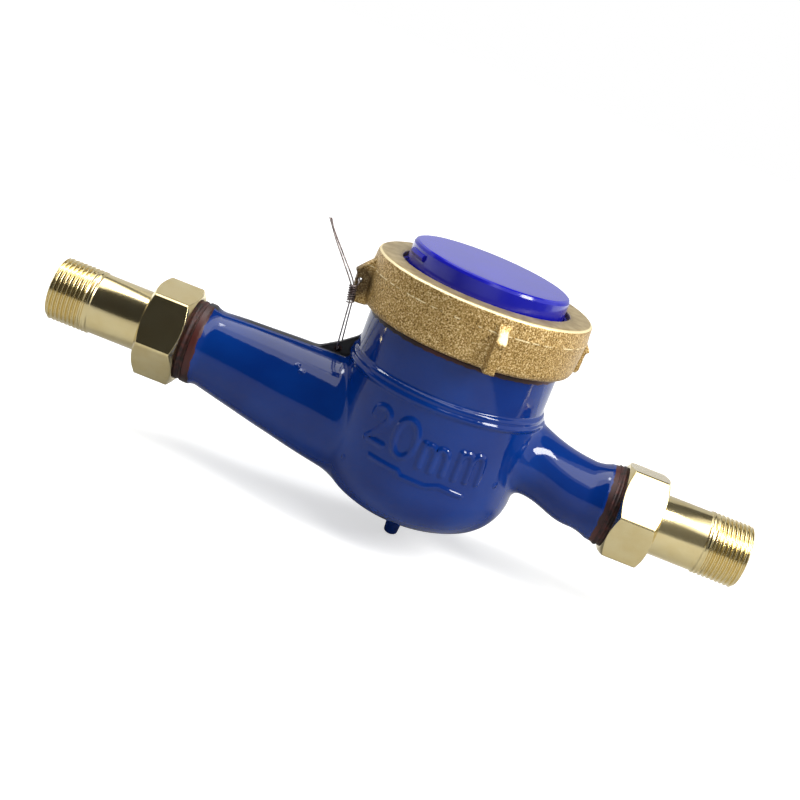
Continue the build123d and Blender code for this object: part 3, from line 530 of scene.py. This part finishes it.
def blended(tree, share, first, second):
    """That share of the second colour in the first, each a plain colour or a node's result."""
    return add_node(tree, "ShaderNodeMix", {0: share, 6: first, 7: second}, data_type="RGBA").outputs[2]


enamel, tree, shader, place = start_finish("blue_stoving_enamel", Roughness=ENAMEL_ROUGHNESS, IOR=1.43)
drift = clouds(tree, place, 24, 2.0)
enamel_tone = toned(tree, drift, (0.3, "#022263"), (0.7, "#032c72"))
primer_tone = toned(tree, drift, (0.35, "#1b0807"), (0.65, "#43160f"))
ragged = combine(tree, "MULTIPLY_ADD", clouds(tree, place, 3.0, 3.0), 1.6 * MM, -0.8 * MM)
away = add_node(tree, "ShaderNodeVectorMath", {0: place, 1: (-REGISTER_X * MM, 0.0, 0.0)}, operation="ADD")
away = add_node(tree, "ShaderNodeSeparateXYZ", {"Vector": away.outputs["Vector"]}).outputs
bare = 0.0
for axis, edge, toward in (("X", PRIMER_FROM_INLET, -1), ("X", PRIMER_FROM_OUTLET, 1),
                           ("Z", PRIMER_FROM_RING, 1)):
    half = PRIMER_EDGE / 2 * toward
    edge_mask = remap(tree, combine(tree, "ADD", away[axis], ragged), (edge - half) * MM, (edge + half) * MM)
    bare = combine(tree, "MAXIMUM", bare, edge_mask)
# Painted shade: this mask darkens the seal web's face to near black, fading out at its edges.
on_web = remap(tree, away["X"], WEB_SHADE_X * MM, (WEB_SHADE_X - 1.0) * MM)
off_side = combine(tree, "ABSOLUTE", away["Y"])
for value, low, high in ((away["Z"], WEB_SHADE_Z, WEB_SHADE_Z + 1.0), (off_side, WEB_SHADE_SIDE + 0.6, WEB_SHADE_SIDE)):
    on_web = combine(tree, "MULTIPLY", on_web, remap(tree, value, low * MM, high * MM))
coated = blended(tree, bare, enamel_tone, primer_tone)
dulled = combine(tree, "MAXIMUM", bare, on_web)
gloss = remap(tree, dulled, 0.0, 1.0, ENAMEL_ROUGHNESS, PRIMER_ROUGHNESS)
tree.links.new(gloss, shader.inputs["Roughness"])
web_shaded = blended(tree, on_web, coated, linear("#0a0c18"))
give_skin(tree, shader, web_shaded, clouds(tree, place, 3.4, 2.0), 0.25, 0.12)
enamel_coat = link_piece("enamel_coat", coat_mesh, "meter", enamel)

# Each port carries a one-inch pipe thread. The nut covers most of it and the first ridges show
# between nut and collar, dark with rust and old jointing paste.
PORT_PITCH, PORT_RUN_OUT, PORT_ROWS = 2.309, 0.4, 26
PORT_INNER_R, PORT_ROOT_R, PORT_CREST_R = 16.0, 16.62, 17.1


def spun(name, rows, angles):
    """A closed ring about the pipe axis: rows of (x, radius), one pair per angle or one for all."""
    rings = np.zeros((len(rows), len(angles), 2))
    for number, row in enumerate(rows):
        rings[number] = row
    turn = np.radians(angles)
    places = np.stack((rings[..., 0] + REGISTER_X, rings[..., 1] * np.cos(turn),
                       rings[..., 1] * np.sin(turn)), axis=-1)
    sides, faces = len(angles), []
    for ring in range(len(rows)):
        here, after = ring * sides, (ring + 1) % len(rows) * sides
        for side in range(sides):
            beside = (side + 1) % sides
            faces.append((here + side, here + beside, after + beside, after + side))
    mesh = bpy.data.meshes.new(name)
    mesh.from_pydata((places.reshape(-1, 3) * MM).tolist(), [], faces)
    mesh.polygons.foreach_set("use_smooth", [True] * len(mesh.polygons))
    shape = bmesh.new()
    shape.from_mesh(mesh)
    bmesh.ops.recalc_face_normals(shape, faces=shape.faces)
    shape.to_mesh(mesh)
    shape.free()
    return mesh


def thread_height(x, angles, pitch):
    """How far a thread stands between its root, 0, and its crest, 1."""
    turn = (x / pitch + np.asarray(angles) / 360) % 1
    flank = np.clip(1.25 * (1 - np.abs(2 * turn - 1)) - 0.12, 0, 1)
    return flank ** 2 * (3 - 2 * flank)


thread_angles = np.arange(0, 360, 5)
for port, first, last in (("inlet", -104.8, -101.1), ("outlet", 77.0, 80.1)):
    rows = [(first, PORT_INNER_R)]
    for x in np.linspace(first, last, PORT_ROWS):
        ease = min(1.0, (x - first) / PORT_RUN_OUT, (last - x) / PORT_RUN_OUT)
        stand = (PORT_CREST_R - PORT_ROOT_R) * ease * thread_height(x, thread_angles, PORT_PITCH)
        rows.append(np.stack((np.full(len(thread_angles), x), PORT_ROOT_R + stand), axis=-1))
    rows.append((last, PORT_INNER_R))
    name = f"{port}_port_thread"
    port_thread = link_piece(name, spun(name, rows, thread_angles), "meter", iron)

# Inside the bowl sit the strainer basket, a rubber gasket and the measuring chamber with its vane
# wheel. They are injection moulded, and the wheel turns on a hardened steel pin under a jewel.


def mottled(name, dark, light, patch, grain, relief, **values):
    """A finish that drifts between two tones over patches, with a fine relief. Sizes in mm."""
    material, tree, shader, place = start_finish(name, **values)
    tone = toned(tree, clouds(tree, place, patch, 3.0), (0.35, dark), (0.68, light))
    give_skin(tree, shader, tone, clouds(tree, place, grain, 2.0), 0.4, relief)
    return material


# Moulded polypropylene and ABS look a little waxy, with the spark texture of their moulds. The
# real texture is under 0.1 mm, so it is drawn four to five times as coarse to show at all.
basket_plastic = mottled("moulded_polypropylene", "#b9bbb6", "#cfd0ca", 9.0, 0.5, 0.05, Roughness=0.5)
chamber_plastic = mottled("moulded_grey_abs", "#8f9494", "#a3a7a6", 14.0, 0.4, 0.04, Roughness=0.38)
wheel_plastic = mottled("moulded_vane_wheel_plastic", "#c4c2b4", "#d8d6ca", 8.0, 0.4, 0.03, Roughness=0.42)
# Black nitrile rubber is matt and slightly dusty.
nitrile_rubber = mottled("nitrile_rubber", "#141414", "#262626", 3.0, 0.6, 0.06, Roughness=0.7)
# Bright steel keeps thin drawing marks.
drawn_steel = mottled("drawn_steel", "#8e8a86", "#b9b5b0", 1.2, 0.3, 0.01, Metallic=1.0, Roughness=0.28)
# The synthetic sapphire takes a wine-red polish.
sapphire = mottled("synthetic_sapphire", "#6e0a22", "#8f1733", 1.0, 0.5, 0.005, Roughness=0.05, IOR=1.77)
give_finish(basket_plastic, "strainer")
give_finish(nitrile_rubber, "chamber_gasket")
give_finish(chamber_plastic, "impeller_box")
give_finish(wheel_plastic, "impeller")
give_finish(drawn_steel, "pivot")
give_finish(sapphire, "pivot_jewel")

# The register rides above in its own moulded shell. Its train is nine acetal arbors under a
# bearing plate, and its five number rollers turn on a fixed steel shaft.
# Acetal is an ivory white with a soft, greasy shine.
acetal = mottled("white_acetal", "#d0cfc4", "#e4e3d9", 6.0, 0.3, 0.02, Roughness=0.35)
give_finish(chamber_plastic, "register_shell", "register_plate")
give_finish(acetal, "star_arbor", "worm_arbor", *[f"pointer_{number}_arbor" for number in (1, 2, 3, 4)],
            *[f"idler_{number}_arbor" for number in (1, 2, 3)])
give_finish(drawn_steel, "plate_screws", "roller_shaft")

# The five number rollers are moulded in black plastic, side by side on their shaft. Each has
# white figures hot-stamped around it from foil, ten to the turn.
ROLLER_R, ROLLER_Y, ROLLER_Z, ROLLER_PITCH = 4.9, 13.6, 41.9, 5.0
FIGURE_SIZE, PRINT_THICK = 3.1, 0.02
# The black plastic is semi-matt, so the figures stand out.
roller_black = mottled("black_roller_plastic", "#0d0d0e", "#19191a", 4.0, 0.4, 0.02, Roughness=0.4)
# Stamping foil is dense and a touch glossier than the plastic.
white_foil = mottled("white_stamping_foil", "#e2e2dc", "#f0f0ea", 2.0, 0.4, 0.01, Roughness=0.3)


def lettering(text, size):
    """Points and faces of printed characters, centred on the origin, in millimetres."""
    letters = bpy.data.curves.new("letters", "FONT")
    letters.body = text
    letters.size = size
    letters.align_x = "CENTER"
    letters.align_y = "CENTER"
    letters.extrude = PRINT_THICK / 2
    letters.resolution_u = 3
    holder = put("letters", letters)
    mesh = bpy.data.meshes.new_from_object(holder.evaluated_get(bpy.context.evaluated_depsgraph_get()))
    bpy.data.objects.remove(holder)
    points = np.array([vertex.co[:] for vertex in mesh.vertices])
    return points, [list(face.vertices) for face in mesh.polygons]


def gathered(name, pieces):
    """One mesh from several sets of points and faces, in millimetres about the register axis."""
    points, faces = [], []
    for piece_points, piece_faces in pieces:
        start = sum(len(held) for held in points)
        points.append(np.asarray(piece_points, float))
        faces += [[start + corner for corner in face] for face in piece_faces]
    mesh = bpy.data.meshes.new(name)
    mesh.from_pydata(((np.vstack(points) + (REGISTER_X, 0, 0)) * MM).tolist(), [], faces)
    return mesh


for number in (1, 2, 3, 4, 5):
    figures = []
    for figure in range(10):
        flat, faces = lettering(str(figure), FIGURE_SIZE)
        turn = flat[:, 1] / ROLLER_R + math.radians(36 * figure)
        reach = ROLLER_R + PRINT_THICK / 2 + flat[:, 2]
        wrapped = np.stack((flat[:, 0] + (3 - number) * ROLLER_PITCH, ROLLER_Y + reach * np.sin(turn),
                            ROLLER_Z + reach * np.cos(turn)), axis=-1)
        figures.append((wrapped, faces))
    name = f"roller_{number}_figures"
    stamped = link_piece(name, gathered(name, figures), f"roller_{number}_drum", white_foil)
    give_finish(roller_black, f"roller_{number}")

# The dial is an enamelled aluminium disc with screen print: black for the frame around the roller
# window and for the unit, and red for the ten divisions around each of the four pointers, with
# their factors outside. Each factor has its pointer's direction, in degrees from the outlet's side.
DIAL_TOP, POINTER_CIRCLE_R = 47.0, 18.0
FACTORS = ((-165, "×0.1"), (-115, "×0.01"), (-65, "×0.001"), (-15, "×0.0001"))
DIVISION_R, DIVISION_LENGTH, DIVISION_WIDTH = 5.0, 0.8, 0.22
NUMERAL_R, NUMERAL_SIZE, FACTOR_R, FACTOR_SIZE = 6.5, 1.5, 26.6, 1.7
WINDOW_LEFT, WINDOW_LOW, WINDOW_HIGH, FRAME_FOOT, FRAME_WIDTH = -13.6, 9.7, 17.5, 9.55, 0.3
# Dial enamel is a warm white with a low sheen.
dial_enamel = mottled("white_dial_enamel", "#e6e6e0", "#efefea", 16.0, 0.8, 0.02, Roughness=0.35)
# Screen ink lies matt on the enamel.
black_ink = mottled("black_screen_ink", "#121212", "#1e1e1e", 1.5, 0.3, 0.01, Roughness=0.6)
red_ink = mottled("red_screen_ink", "#a8141a", "#bd1c20", 1.5, 0.3, 0.01, Roughness=0.6)
# The pointers are acetal dyed right through, brighter and shinier than the ink.
pointer_red = mottled("red_pointer_acetal", "#b3141a", "#c92024", 4.0, 0.3, 0.02, Roughness=0.25)


def bar(x, y, turn, length, width):
    """A printed bar from a point, along a direction in degrees."""
    along = np.array((math.cos(math.radians(turn)), math.sin(math.radians(turn))))
    across = np.array((-along[1], along[0])) * width / 2
    start = np.array((x, y))
    end = start + along * length
    ring = [start - across, end - across, end + across, start + across]
    points = [(*corner, DIAL_TOP) for corner in ring] + [(*corner, DIAL_TOP + PRINT_THICK) for corner in ring]
    sides = [(side, (side + 1) % 4, (side + 1) % 4 + 4, side + 4) for side in range(4)]
    return points, [(3, 2, 1, 0), (4, 5, 6, 7)] + sides


def words(text, x, y, size):
    """Printed characters centred on a point of the dial."""
    flat, faces = lettering(text, size)
    return flat + (x, y, DIAL_TOP + PRINT_THICK / 2), faces


def around(x, y, reach, turn):
    """The point at that reach from another, in a direction in degrees."""
    return x + reach * math.cos(math.radians(turn)), y + reach * math.sin(math.radians(turn))


black_print = [words("m³", 16.6, 13.6, 3.6), words("Multi-jet", 0, 22.6, 2.6),
               words("horizontal", 0, -27.2, 1.9)]
for x, y, turn, length in ((WINDOW_LEFT, WINDOW_LOW, 0, 27.2), (WINDOW_LEFT, WINDOW_HIGH, 0, 27.2),
                           (WINDOW_LEFT, FRAME_FOOT, 90, 8.1), (-WINDOW_LEFT, FRAME_FOOT, 90, 8.1)):
    black_print.append(bar(x, y, turn, length, FRAME_WIDTH))
red_print = []
for turn, factor in FACTORS:
    centre = around(0, 0, POINTER_CIRCLE_R, turn)
    for division in range(10):
        lean = 90 - 36 * division
        red_print.append(bar(*around(*centre, DIVISION_R, lean), lean, DIVISION_LENGTH, DIVISION_WIDTH))
        red_print.append(words(str(division), *around(*centre, NUMERAL_R, lean), NUMERAL_SIZE))
    red_print.append(words(factor, *around(0, 0, FACTOR_R, turn), FACTOR_SIZE))
for name, marks, ink in (("dial_black_print", black_print, black_ink),
                         ("dial_red_print", red_print, red_ink)):
    print_piece = link_piece(name, gathered(name, marks), "meter", ink)
give_finish(dial_enamel, "dial")
give_finish(pointer_red, "leak_star", *[f"pointer_{number}" for number in (1, 2, 3, 4)])

# A rubber ring, a plain glass and the lid's bezel lie on the register, with a grey fibre washer
# on top for the brass ring to slide on as it is tightened.
# Float glass is clear, with a green cast only in its edge.
float_glass, tree, shader, place = start_finish("float_glass", Roughness=0.0, IOR=1.52,
                                                Transmission_Weight=1.0)
tint = toned(tree, clouds(tree, place, 30, 1.0), (0.3, "#eef7f3"), (0.7, "#f7fbf9"))
tree.links.new(tint, shader.inputs["Base Color"])
# Pressed fibre is dull and flecked like card.
grey_fibre = mottled("pressed_grey_fibre", "#5c5650", "#77706a", 1.2, 0.4, 0.08, Roughness=0.85)
give_finish(nitrile_rubber, "glass_gasket")
give_finish(float_glass, "glass")
give_finish(grey_fibre, "friction_washer")

# The lid turns on a steel pin through the ears of its bezel. Lid and bezel are moulded in ABS,
# and a thumb tab stands on the lid's free side.
# The plastic is violet-blue right through, and its polished mould leaves a wet gloss.
lid_plastic = mottled("glossy_blue_abs", "#101290", "#15179a", 20.0, 5.0, 0.03, Roughness=0.13, IOR=1.46)
give_finish(lid_plastic, "lid", "lid_bezel")
give_finish(drawn_steel, "lid_pin")

# The ring nut is a sand casting in brass. Only its bore, its top face and the edge around the lid
# are machined; the rest keeps the grain of the sand and a broken flash where the mould parted.
RING_GRID = 0.62
PARTING_Z, FLASH_HALF, RING_TOP = 58.8, 0.55, 66.0
BORE_SKIN_R, OUTER_R = 41.6, 44.2
GRAIN_LIFT, FLASH_LIFT = 0.08, 0.34
ring_mesh = evenly_meshed("ring_nut", RING_GRID)
points = mesh_points(ring_mesh)
outward = np.array([vertex.normal[:] for vertex in ring_mesh.vertices])
radial = np.hypot(points[:, 0], points[:, 1])
sand_skin = np.clip((radial - BORE_SKIN_R) / 1.2, 0, 1)
sand_skin *= np.clip((RING_TOP - 0.5 - points[:, 2]) / 0.7, 0, 1)
grains = np.array([noise.noise(Vector(spot) / 1.1) + 0.6 * noise.noise(Vector(spot) / 2.3 + Vector((7, 3, 5)))
                   for spot in points])
flash = np.clip(1 - np.abs(points[:, 2] - PARTING_Z) / FLASH_HALF, 0, 1) * (radial > OUTER_R)
broken = np.array([0.5 + noise.noise(Vector(spot) / 3.1 + Vector((2, 9, 4))) for spot in points])
lift = sand_skin * (GRAIN_LIFT * grains + FLASH_LIFT * flash * np.clip(broken, 0, 1))
put_points(ring_mesh, points + outward * lift[:, None])

# Sand-cast brass is dull gold and pitted brown, and lighter in chips along its broken flash. A painted
# highlight lies along its top outer edge and on the front lug, and painted shade darkens the lug with the
# sealing wire.
HIGHLIGHT_LUG, SHADED_LUG = (13.8, -46.2, 58.6), (-46.5, -15.5, 52.0)
LIGHTENED_SHARE, SHADE_SHARE = 0.8, 0.72
# Moulding sand has grains of about 0.3 mm. They are drawn twice as coarse, to show from a step away.
SAND_GRAIN = 0.62
cast_brass, tree, shader, place = start_finish("sand_cast_brass", Metallic=0.5, Roughness=0.42)
away = add_node(tree, "ShaderNodeVectorMath", {0: place, 1: (-REGISTER_X * MM, 0.0, 0.0)},
                operation="ADD").outputs["Vector"]
sand = clouds(tree, place, SAND_GRAIN, 2.0, Roughness=0.55)
sand_tone = toned(tree, sand, (0.3, "#5c4420"), (0.44, "#98783f"), (0.56, "#bd9c60"), (0.7, "#ecd5a2"))
satin_tone = toned(tree, clouds(tree, place, 4.0, 2.0), (0.3, "#8a7750"), (0.7, "#aa9870"))
height = add_node(tree, "ShaderNodeSeparateXYZ", {"Vector": place}).outputs["Z"]
machined = remap(tree, height, (RING_TOP - 0.55) * MM, (RING_TOP - 0.15) * MM)
chips = remap(tree, clouds(tree, place, 2.6, 2.0), 0.46, 0.56)
bright = 0.0
# The chips of the broken flash along the parting line are lightened; the line just under the top face is a
# painted highlight on the outer edge.
for level, half, held_back in ((PARTING_Z, 0.3, chips), (RING_TOP - 0.6, 0.45, 1.0)):
    off_line = combine(tree, "ABSOLUTE", combine(tree, "SUBTRACT", height, level * MM))
    line = remap(tree, off_line, half * MM, half * 0.5 * MM)
    bright = combine(tree, "MAXIMUM", bright, combine(tree, "MULTIPLY", line, held_back))
lug_masks = []
# A painted highlight on the front lug, and painted shade on the lug with the sealing wire, each fading out
# from its centre.
for centre, near, far in ((HIGHLIGHT_LUG, 1.6, 3.4), (SHADED_LUG, 4.5, 8.0)):
    reach = add_node(tree, "ShaderNodeVectorMath", {0: away, 1: tuple(part * MM for part in centre)},
                     operation="DISTANCE").outputs["Value"]
    lug_masks.append(remap(tree, reach, far * MM, near * MM))
bright = combine(tree, "MULTIPLY", combine(tree, "MAXIMUM", bright, lug_masks[0]), LIGHTENED_SHARE)
painted_shade = combine(tree, "MULTIPLY", lug_masks[1], SHADE_SHARE)
face = blended(tree, machined, sand_tone, satin_tone)
lit_and_shaded_tone = blended(tree, painted_shade, blended(tree, bright, face, linear("#f6e6b8")), linear("#24170a"))
pits = combine(tree, "MULTIPLY", sand, combine(tree, "MULTIPLY_ADD", machined, -1.0, 1.0))
give_skin(tree, shader, lit_and_shaded_tone, pits, 0.6, 0.3)
ring_casting = link_piece("ring_casting", ring_mesh, "meter", cast_brass)
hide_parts("ring_nut")

# Both unions: a rubber washer, a tail turned from brass bar with a taper pipe thread cut on its
# free end, and a hexagon nut that draws the tail's flange onto the port.
give_finish(nitrile_rubber, "inlet_washer", "outlet_washer")
BORE_R, BARREL_R, TAIL_THREAD_R, FLANGE_R, FLANGE_THICK = 10.0, 12.7, 13.2, 14.7, 3.0
TAIL_PITCH, THREAD_DEPTH, THREAD_LENGTH, RUN_OUT, LEAD_IN = 1.814, 1.05, 18.0, 5.0, 1.35
INLET_TAIL, OUTLET_TAIL = (-163.0, -112.1), (136.0, 85.9)
INLET_NUT, OUTLET_NUT = (-122.5, 1, 21.0), (97.7, -1, 38.0)
NUT_HALF, NUT_LENGTH, NUT_LIP, NUT_BORE_R, NECK_HOLE_R, END_R = 18.4, 17.5, 7.3, 16.66, 13.4, 17.85

# Turned brass is pale and bright, with tool marks around it that stretch its reflections. They
# are drawn 0.35 mm apart, about twice as coarse as a real finishing cut, so that they show.
turned_brass, tree, shader, place = start_finish("turned_brass", Metallic=1.0, Roughness=0.17)
stretched = add_node(tree, "ShaderNodeMapping", {
    "Vector": place, "Scale": (1 / (0.35 * MM), 1 / (14 * MM), 1 / (14 * MM))}).outputs["Vector"]
tool_marks = add_node(tree, "ShaderNodeTexNoise", {"Vector": stretched, "Scale": 1.0, "Detail": 2.0})
brass_tone = toned(tree, clouds(tree, place, 7, 3.0), (0.3, "#e3cf98"), (0.7, "#ecdcab"))
give_skin(tree, shader, brass_tone, tool_marks.outputs["Fac"], 0.25, 0.03)

tail_angles = np.arange(0, 360, 3.75)
for port, (free, inner) in (("inlet", INLET_TAIL), ("outlet", OUTLET_TAIL)):
    away = 1 if inner > free else -1
    length = abs(inner - free)
    rows = [(length, BORE_R), (0.5, BORE_R), (0.0, BORE_R + 0.5)]
    rows = [(free + away * reach, radius) for reach, radius in rows]
    for reach in np.arange(0, THREAD_LENGTH + 1.0, 0.1):
        ease = np.clip((THREAD_LENGTH - reach) / RUN_OUT, 0, 1)
        cut = TAIL_THREAD_R - THREAD_DEPTH * ease * (1 - thread_height(reach, tail_angles, TAIL_PITCH))
        step_down = BARREL_R + max(0.0, THREAD_LENGTH + 0.3 - reach) * 0.9
        blank = min(TAIL_THREAD_R - LEAD_IN + 1.4 * reach, TAIL_THREAD_R, step_down)
        rows.append(np.stack((np.full(len(tail_angles), free + away * reach), np.minimum(cut, blank)),
                             axis=-1))
    flange = length - FLANGE_THICK
    for reach, radius in ((flange - 0.3, BARREL_R), (flange, BARREL_R + 0.3), (flange, FLANGE_R),
                          (length, FLANGE_R)):
        rows.append((free + away * reach, radius))
    name = f"{port}_turned_tail"
    tail = link_piece(name, spun(name, rows, tail_angles), "meter", turned_brass)
    tail.data.set_sharp_from_angle(angle=math.radians(80))
    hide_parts(f"{port}_tail")

# Twelve angles shape each face of a nut, most of them close to its rounded corners. The chamfer at
# both of its ends is turned, so each flat ends there in an arc.
FACE_ANGLES = np.array((-30, -29.3, -28.6, -26, -18, -9, 0, 9, 18, 26, 28.6, 29.3))
for port, (lip, away, turn) in (("inlet", INLET_NUT), ("outlet", OUTLET_NUT)):
    off_face = np.tile(FACE_ANGLES, 6)
    nut_angles = off_face + np.repeat(np.arange(6) * 60, len(FACE_ANGLES)) - turn
    hexagon = NUT_HALF / np.cos(np.radians(off_face))
    hexagon -= 0.3 * np.clip(1 - (30 - np.abs(off_face)) / 1.5, 0, 1) ** 2
    drop = (hexagon - NUT_HALF + 0.4) * math.tan(math.radians(30))
    shoulder = hexagon - drop * 0.06 * 1.73
    rows = [(0.4, NECK_HOLE_R), (0.0, NECK_HOLE_R + 0.4), (0.0, END_R), (0.09, END_R + 0.3)]
    rows += [(drop * 0.94, shoulder), (drop + 0.22, hexagon), (NUT_LENGTH - drop - 0.22, hexagon)]
    rows += [(NUT_LENGTH - drop * 0.94, shoulder), (NUT_LENGTH - 0.09, END_R + 0.3), (NUT_LENGTH, END_R)]
    rows += [(NUT_LENGTH, NUT_BORE_R + 0.4), (NUT_LENGTH - 0.4, NUT_BORE_R), (NUT_LIP, NUT_BORE_R)]
    rows.append((NUT_LIP, NECK_HOLE_R))
    rings = [np.stack((np.broadcast_to(lip + away * reach, hexagon.shape),
                       np.broadcast_to(radius, hexagon.shape)), axis=-1) for reach, radius in rows]
    name = f"{port}_union_nut"
    nut = link_piece(name, spun(name, rings, nut_angles), "meter", turned_brass)
    nut.modifiers.new("flat_faces", "WEIGHTED_NORMAL").keep_sharp = True
    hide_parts(f"{port}_nut")

# The sealing wire is two thin steel strands. They pass through the web and the ring's lug, are
# twisted where they meet, and their cut ends stand up beside the lug.
WIRE_R, WIRE_SIDES = 0.3, 8
LOOP_RUN = ((-47.35, -16.6, 45.6), (-46.95, -16.3, 42.4), (-46.75, -3.4, 21.4), (-46.3, -1.2, 20.3),
            (-46.25, 0.6, 20.2), (-46.1, 2.6, 21.2), (-46.6, -3.0, 33.0), (-47.6, -9.0, 51.3),
            (-47.0, -11.6, 52.0), (-46.3, -14.6, 52.0), (-46.1, -16.4, 51.0), (-46.9, -16.8, 48.2),
            (-47.2, -16.7, 46.4))
FREE_RUNS = (((-47.15, -16.7, 46.4), (-48.6, -16.8, 49.6), (-54.4, -16.7, 57.0), (-59.6, -16.0, 63.2),
              (-63.0, -14.6, 67.4), (-65.6, -13.0, 70.4)),
             ((-46.9, -16.8, 46.8), (-47.4, -16.9, 49.4), (-50.0, -16.2, 53.2), (-56.6, -15.6, 60.6),
              (-62.0, -15.0, 66.8), (-64.6, -15.6, 71.0)))
OUTER_WRAP, INNER_WRAP = (1.35, 7.5), (0.75, 6.5)


def wire_tube(points):
    """Points and faces of a round wire along a smooth curve, with its ends closed."""
    line = smooth_curve(points, 8)
    ahead = np.gradient(line, axis=0)
    ahead /= np.linalg.norm(ahead, axis=1)[:, None]
    across = np.cross(ahead[0], (0.31, 0.95, 0.12))
    rings = []
    for spot, toward in zip(line, ahead):
        across = across - toward * np.dot(across, toward)
        across /= np.linalg.norm(across)
        beside = np.cross(toward, across)
        for side in range(WIRE_SIDES):
            turn = 2 * math.pi * side / WIRE_SIDES
            rings.append(spot + WIRE_R * (math.cos(turn) * across + math.sin(turn) * beside))
    faces = [tuple(range(WIRE_SIDES))[::-1], tuple(range(len(rings) - WIRE_SIDES, len(rings)))]
    for start in range(0, len(rings) - WIRE_SIDES, WIRE_SIDES):
        for side in range(WIRE_SIDES):
            here, beside = start + side, start + (side + 1) % WIRE_SIDES
            faces.append((here, beside, beside + WIRE_SIDES, here + WIRE_SIDES))
    return rings, faces


def wraps(low, high, reach, turns):
    """A tight helix of wire from one point to another."""
    low, high = np.array(low), np.array(high)
    axis = (high - low) / np.linalg.norm(high - low)
    side = np.cross(axis, (0, 1, 0))
    side /= np.linalg.norm(side)
    beside = np.cross(axis, side)
    share = np.linspace(0, 1, int(turns * 10) + 1)
    turn = 2 * math.pi * turns * share
    around_axis = np.cos(turn)[:, None] * side + np.sin(turn)[:, None] * beside
    return low + share[:, None] * (high - low) + reach * around_axis


strands = [wire_tube(run) for run in (LOOP_RUN, *FREE_RUNS)]
strands.append(wire_tube(wraps((-46.7, -16.7, 43.0), (-47.8, -17.1, 49.9), *OUTER_WRAP)))
strands.append(wire_tube(wraps((-46.8, -16.7, 44.0), (-47.7, -17.0, 49.2), *INNER_WRAP)))
wire_mesh = gathered("seal_strands", strands)
wire_mesh.polygons.foreach_set("use_smooth", [True] * len(wire_mesh.polygons))
# Annealed steel wire is grey, with a reddish bloom where its zinc is gone.
seal_steel = mottled("annealed_seal_wire", "#5a4a47", "#a89c99", 2.4, 0.5, 0.03, Metallic=0.7, Roughness=0.38)
seal_strands = link_piece("seal_strands", wire_mesh, "meter", seal_steel)
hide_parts("seal_wire")
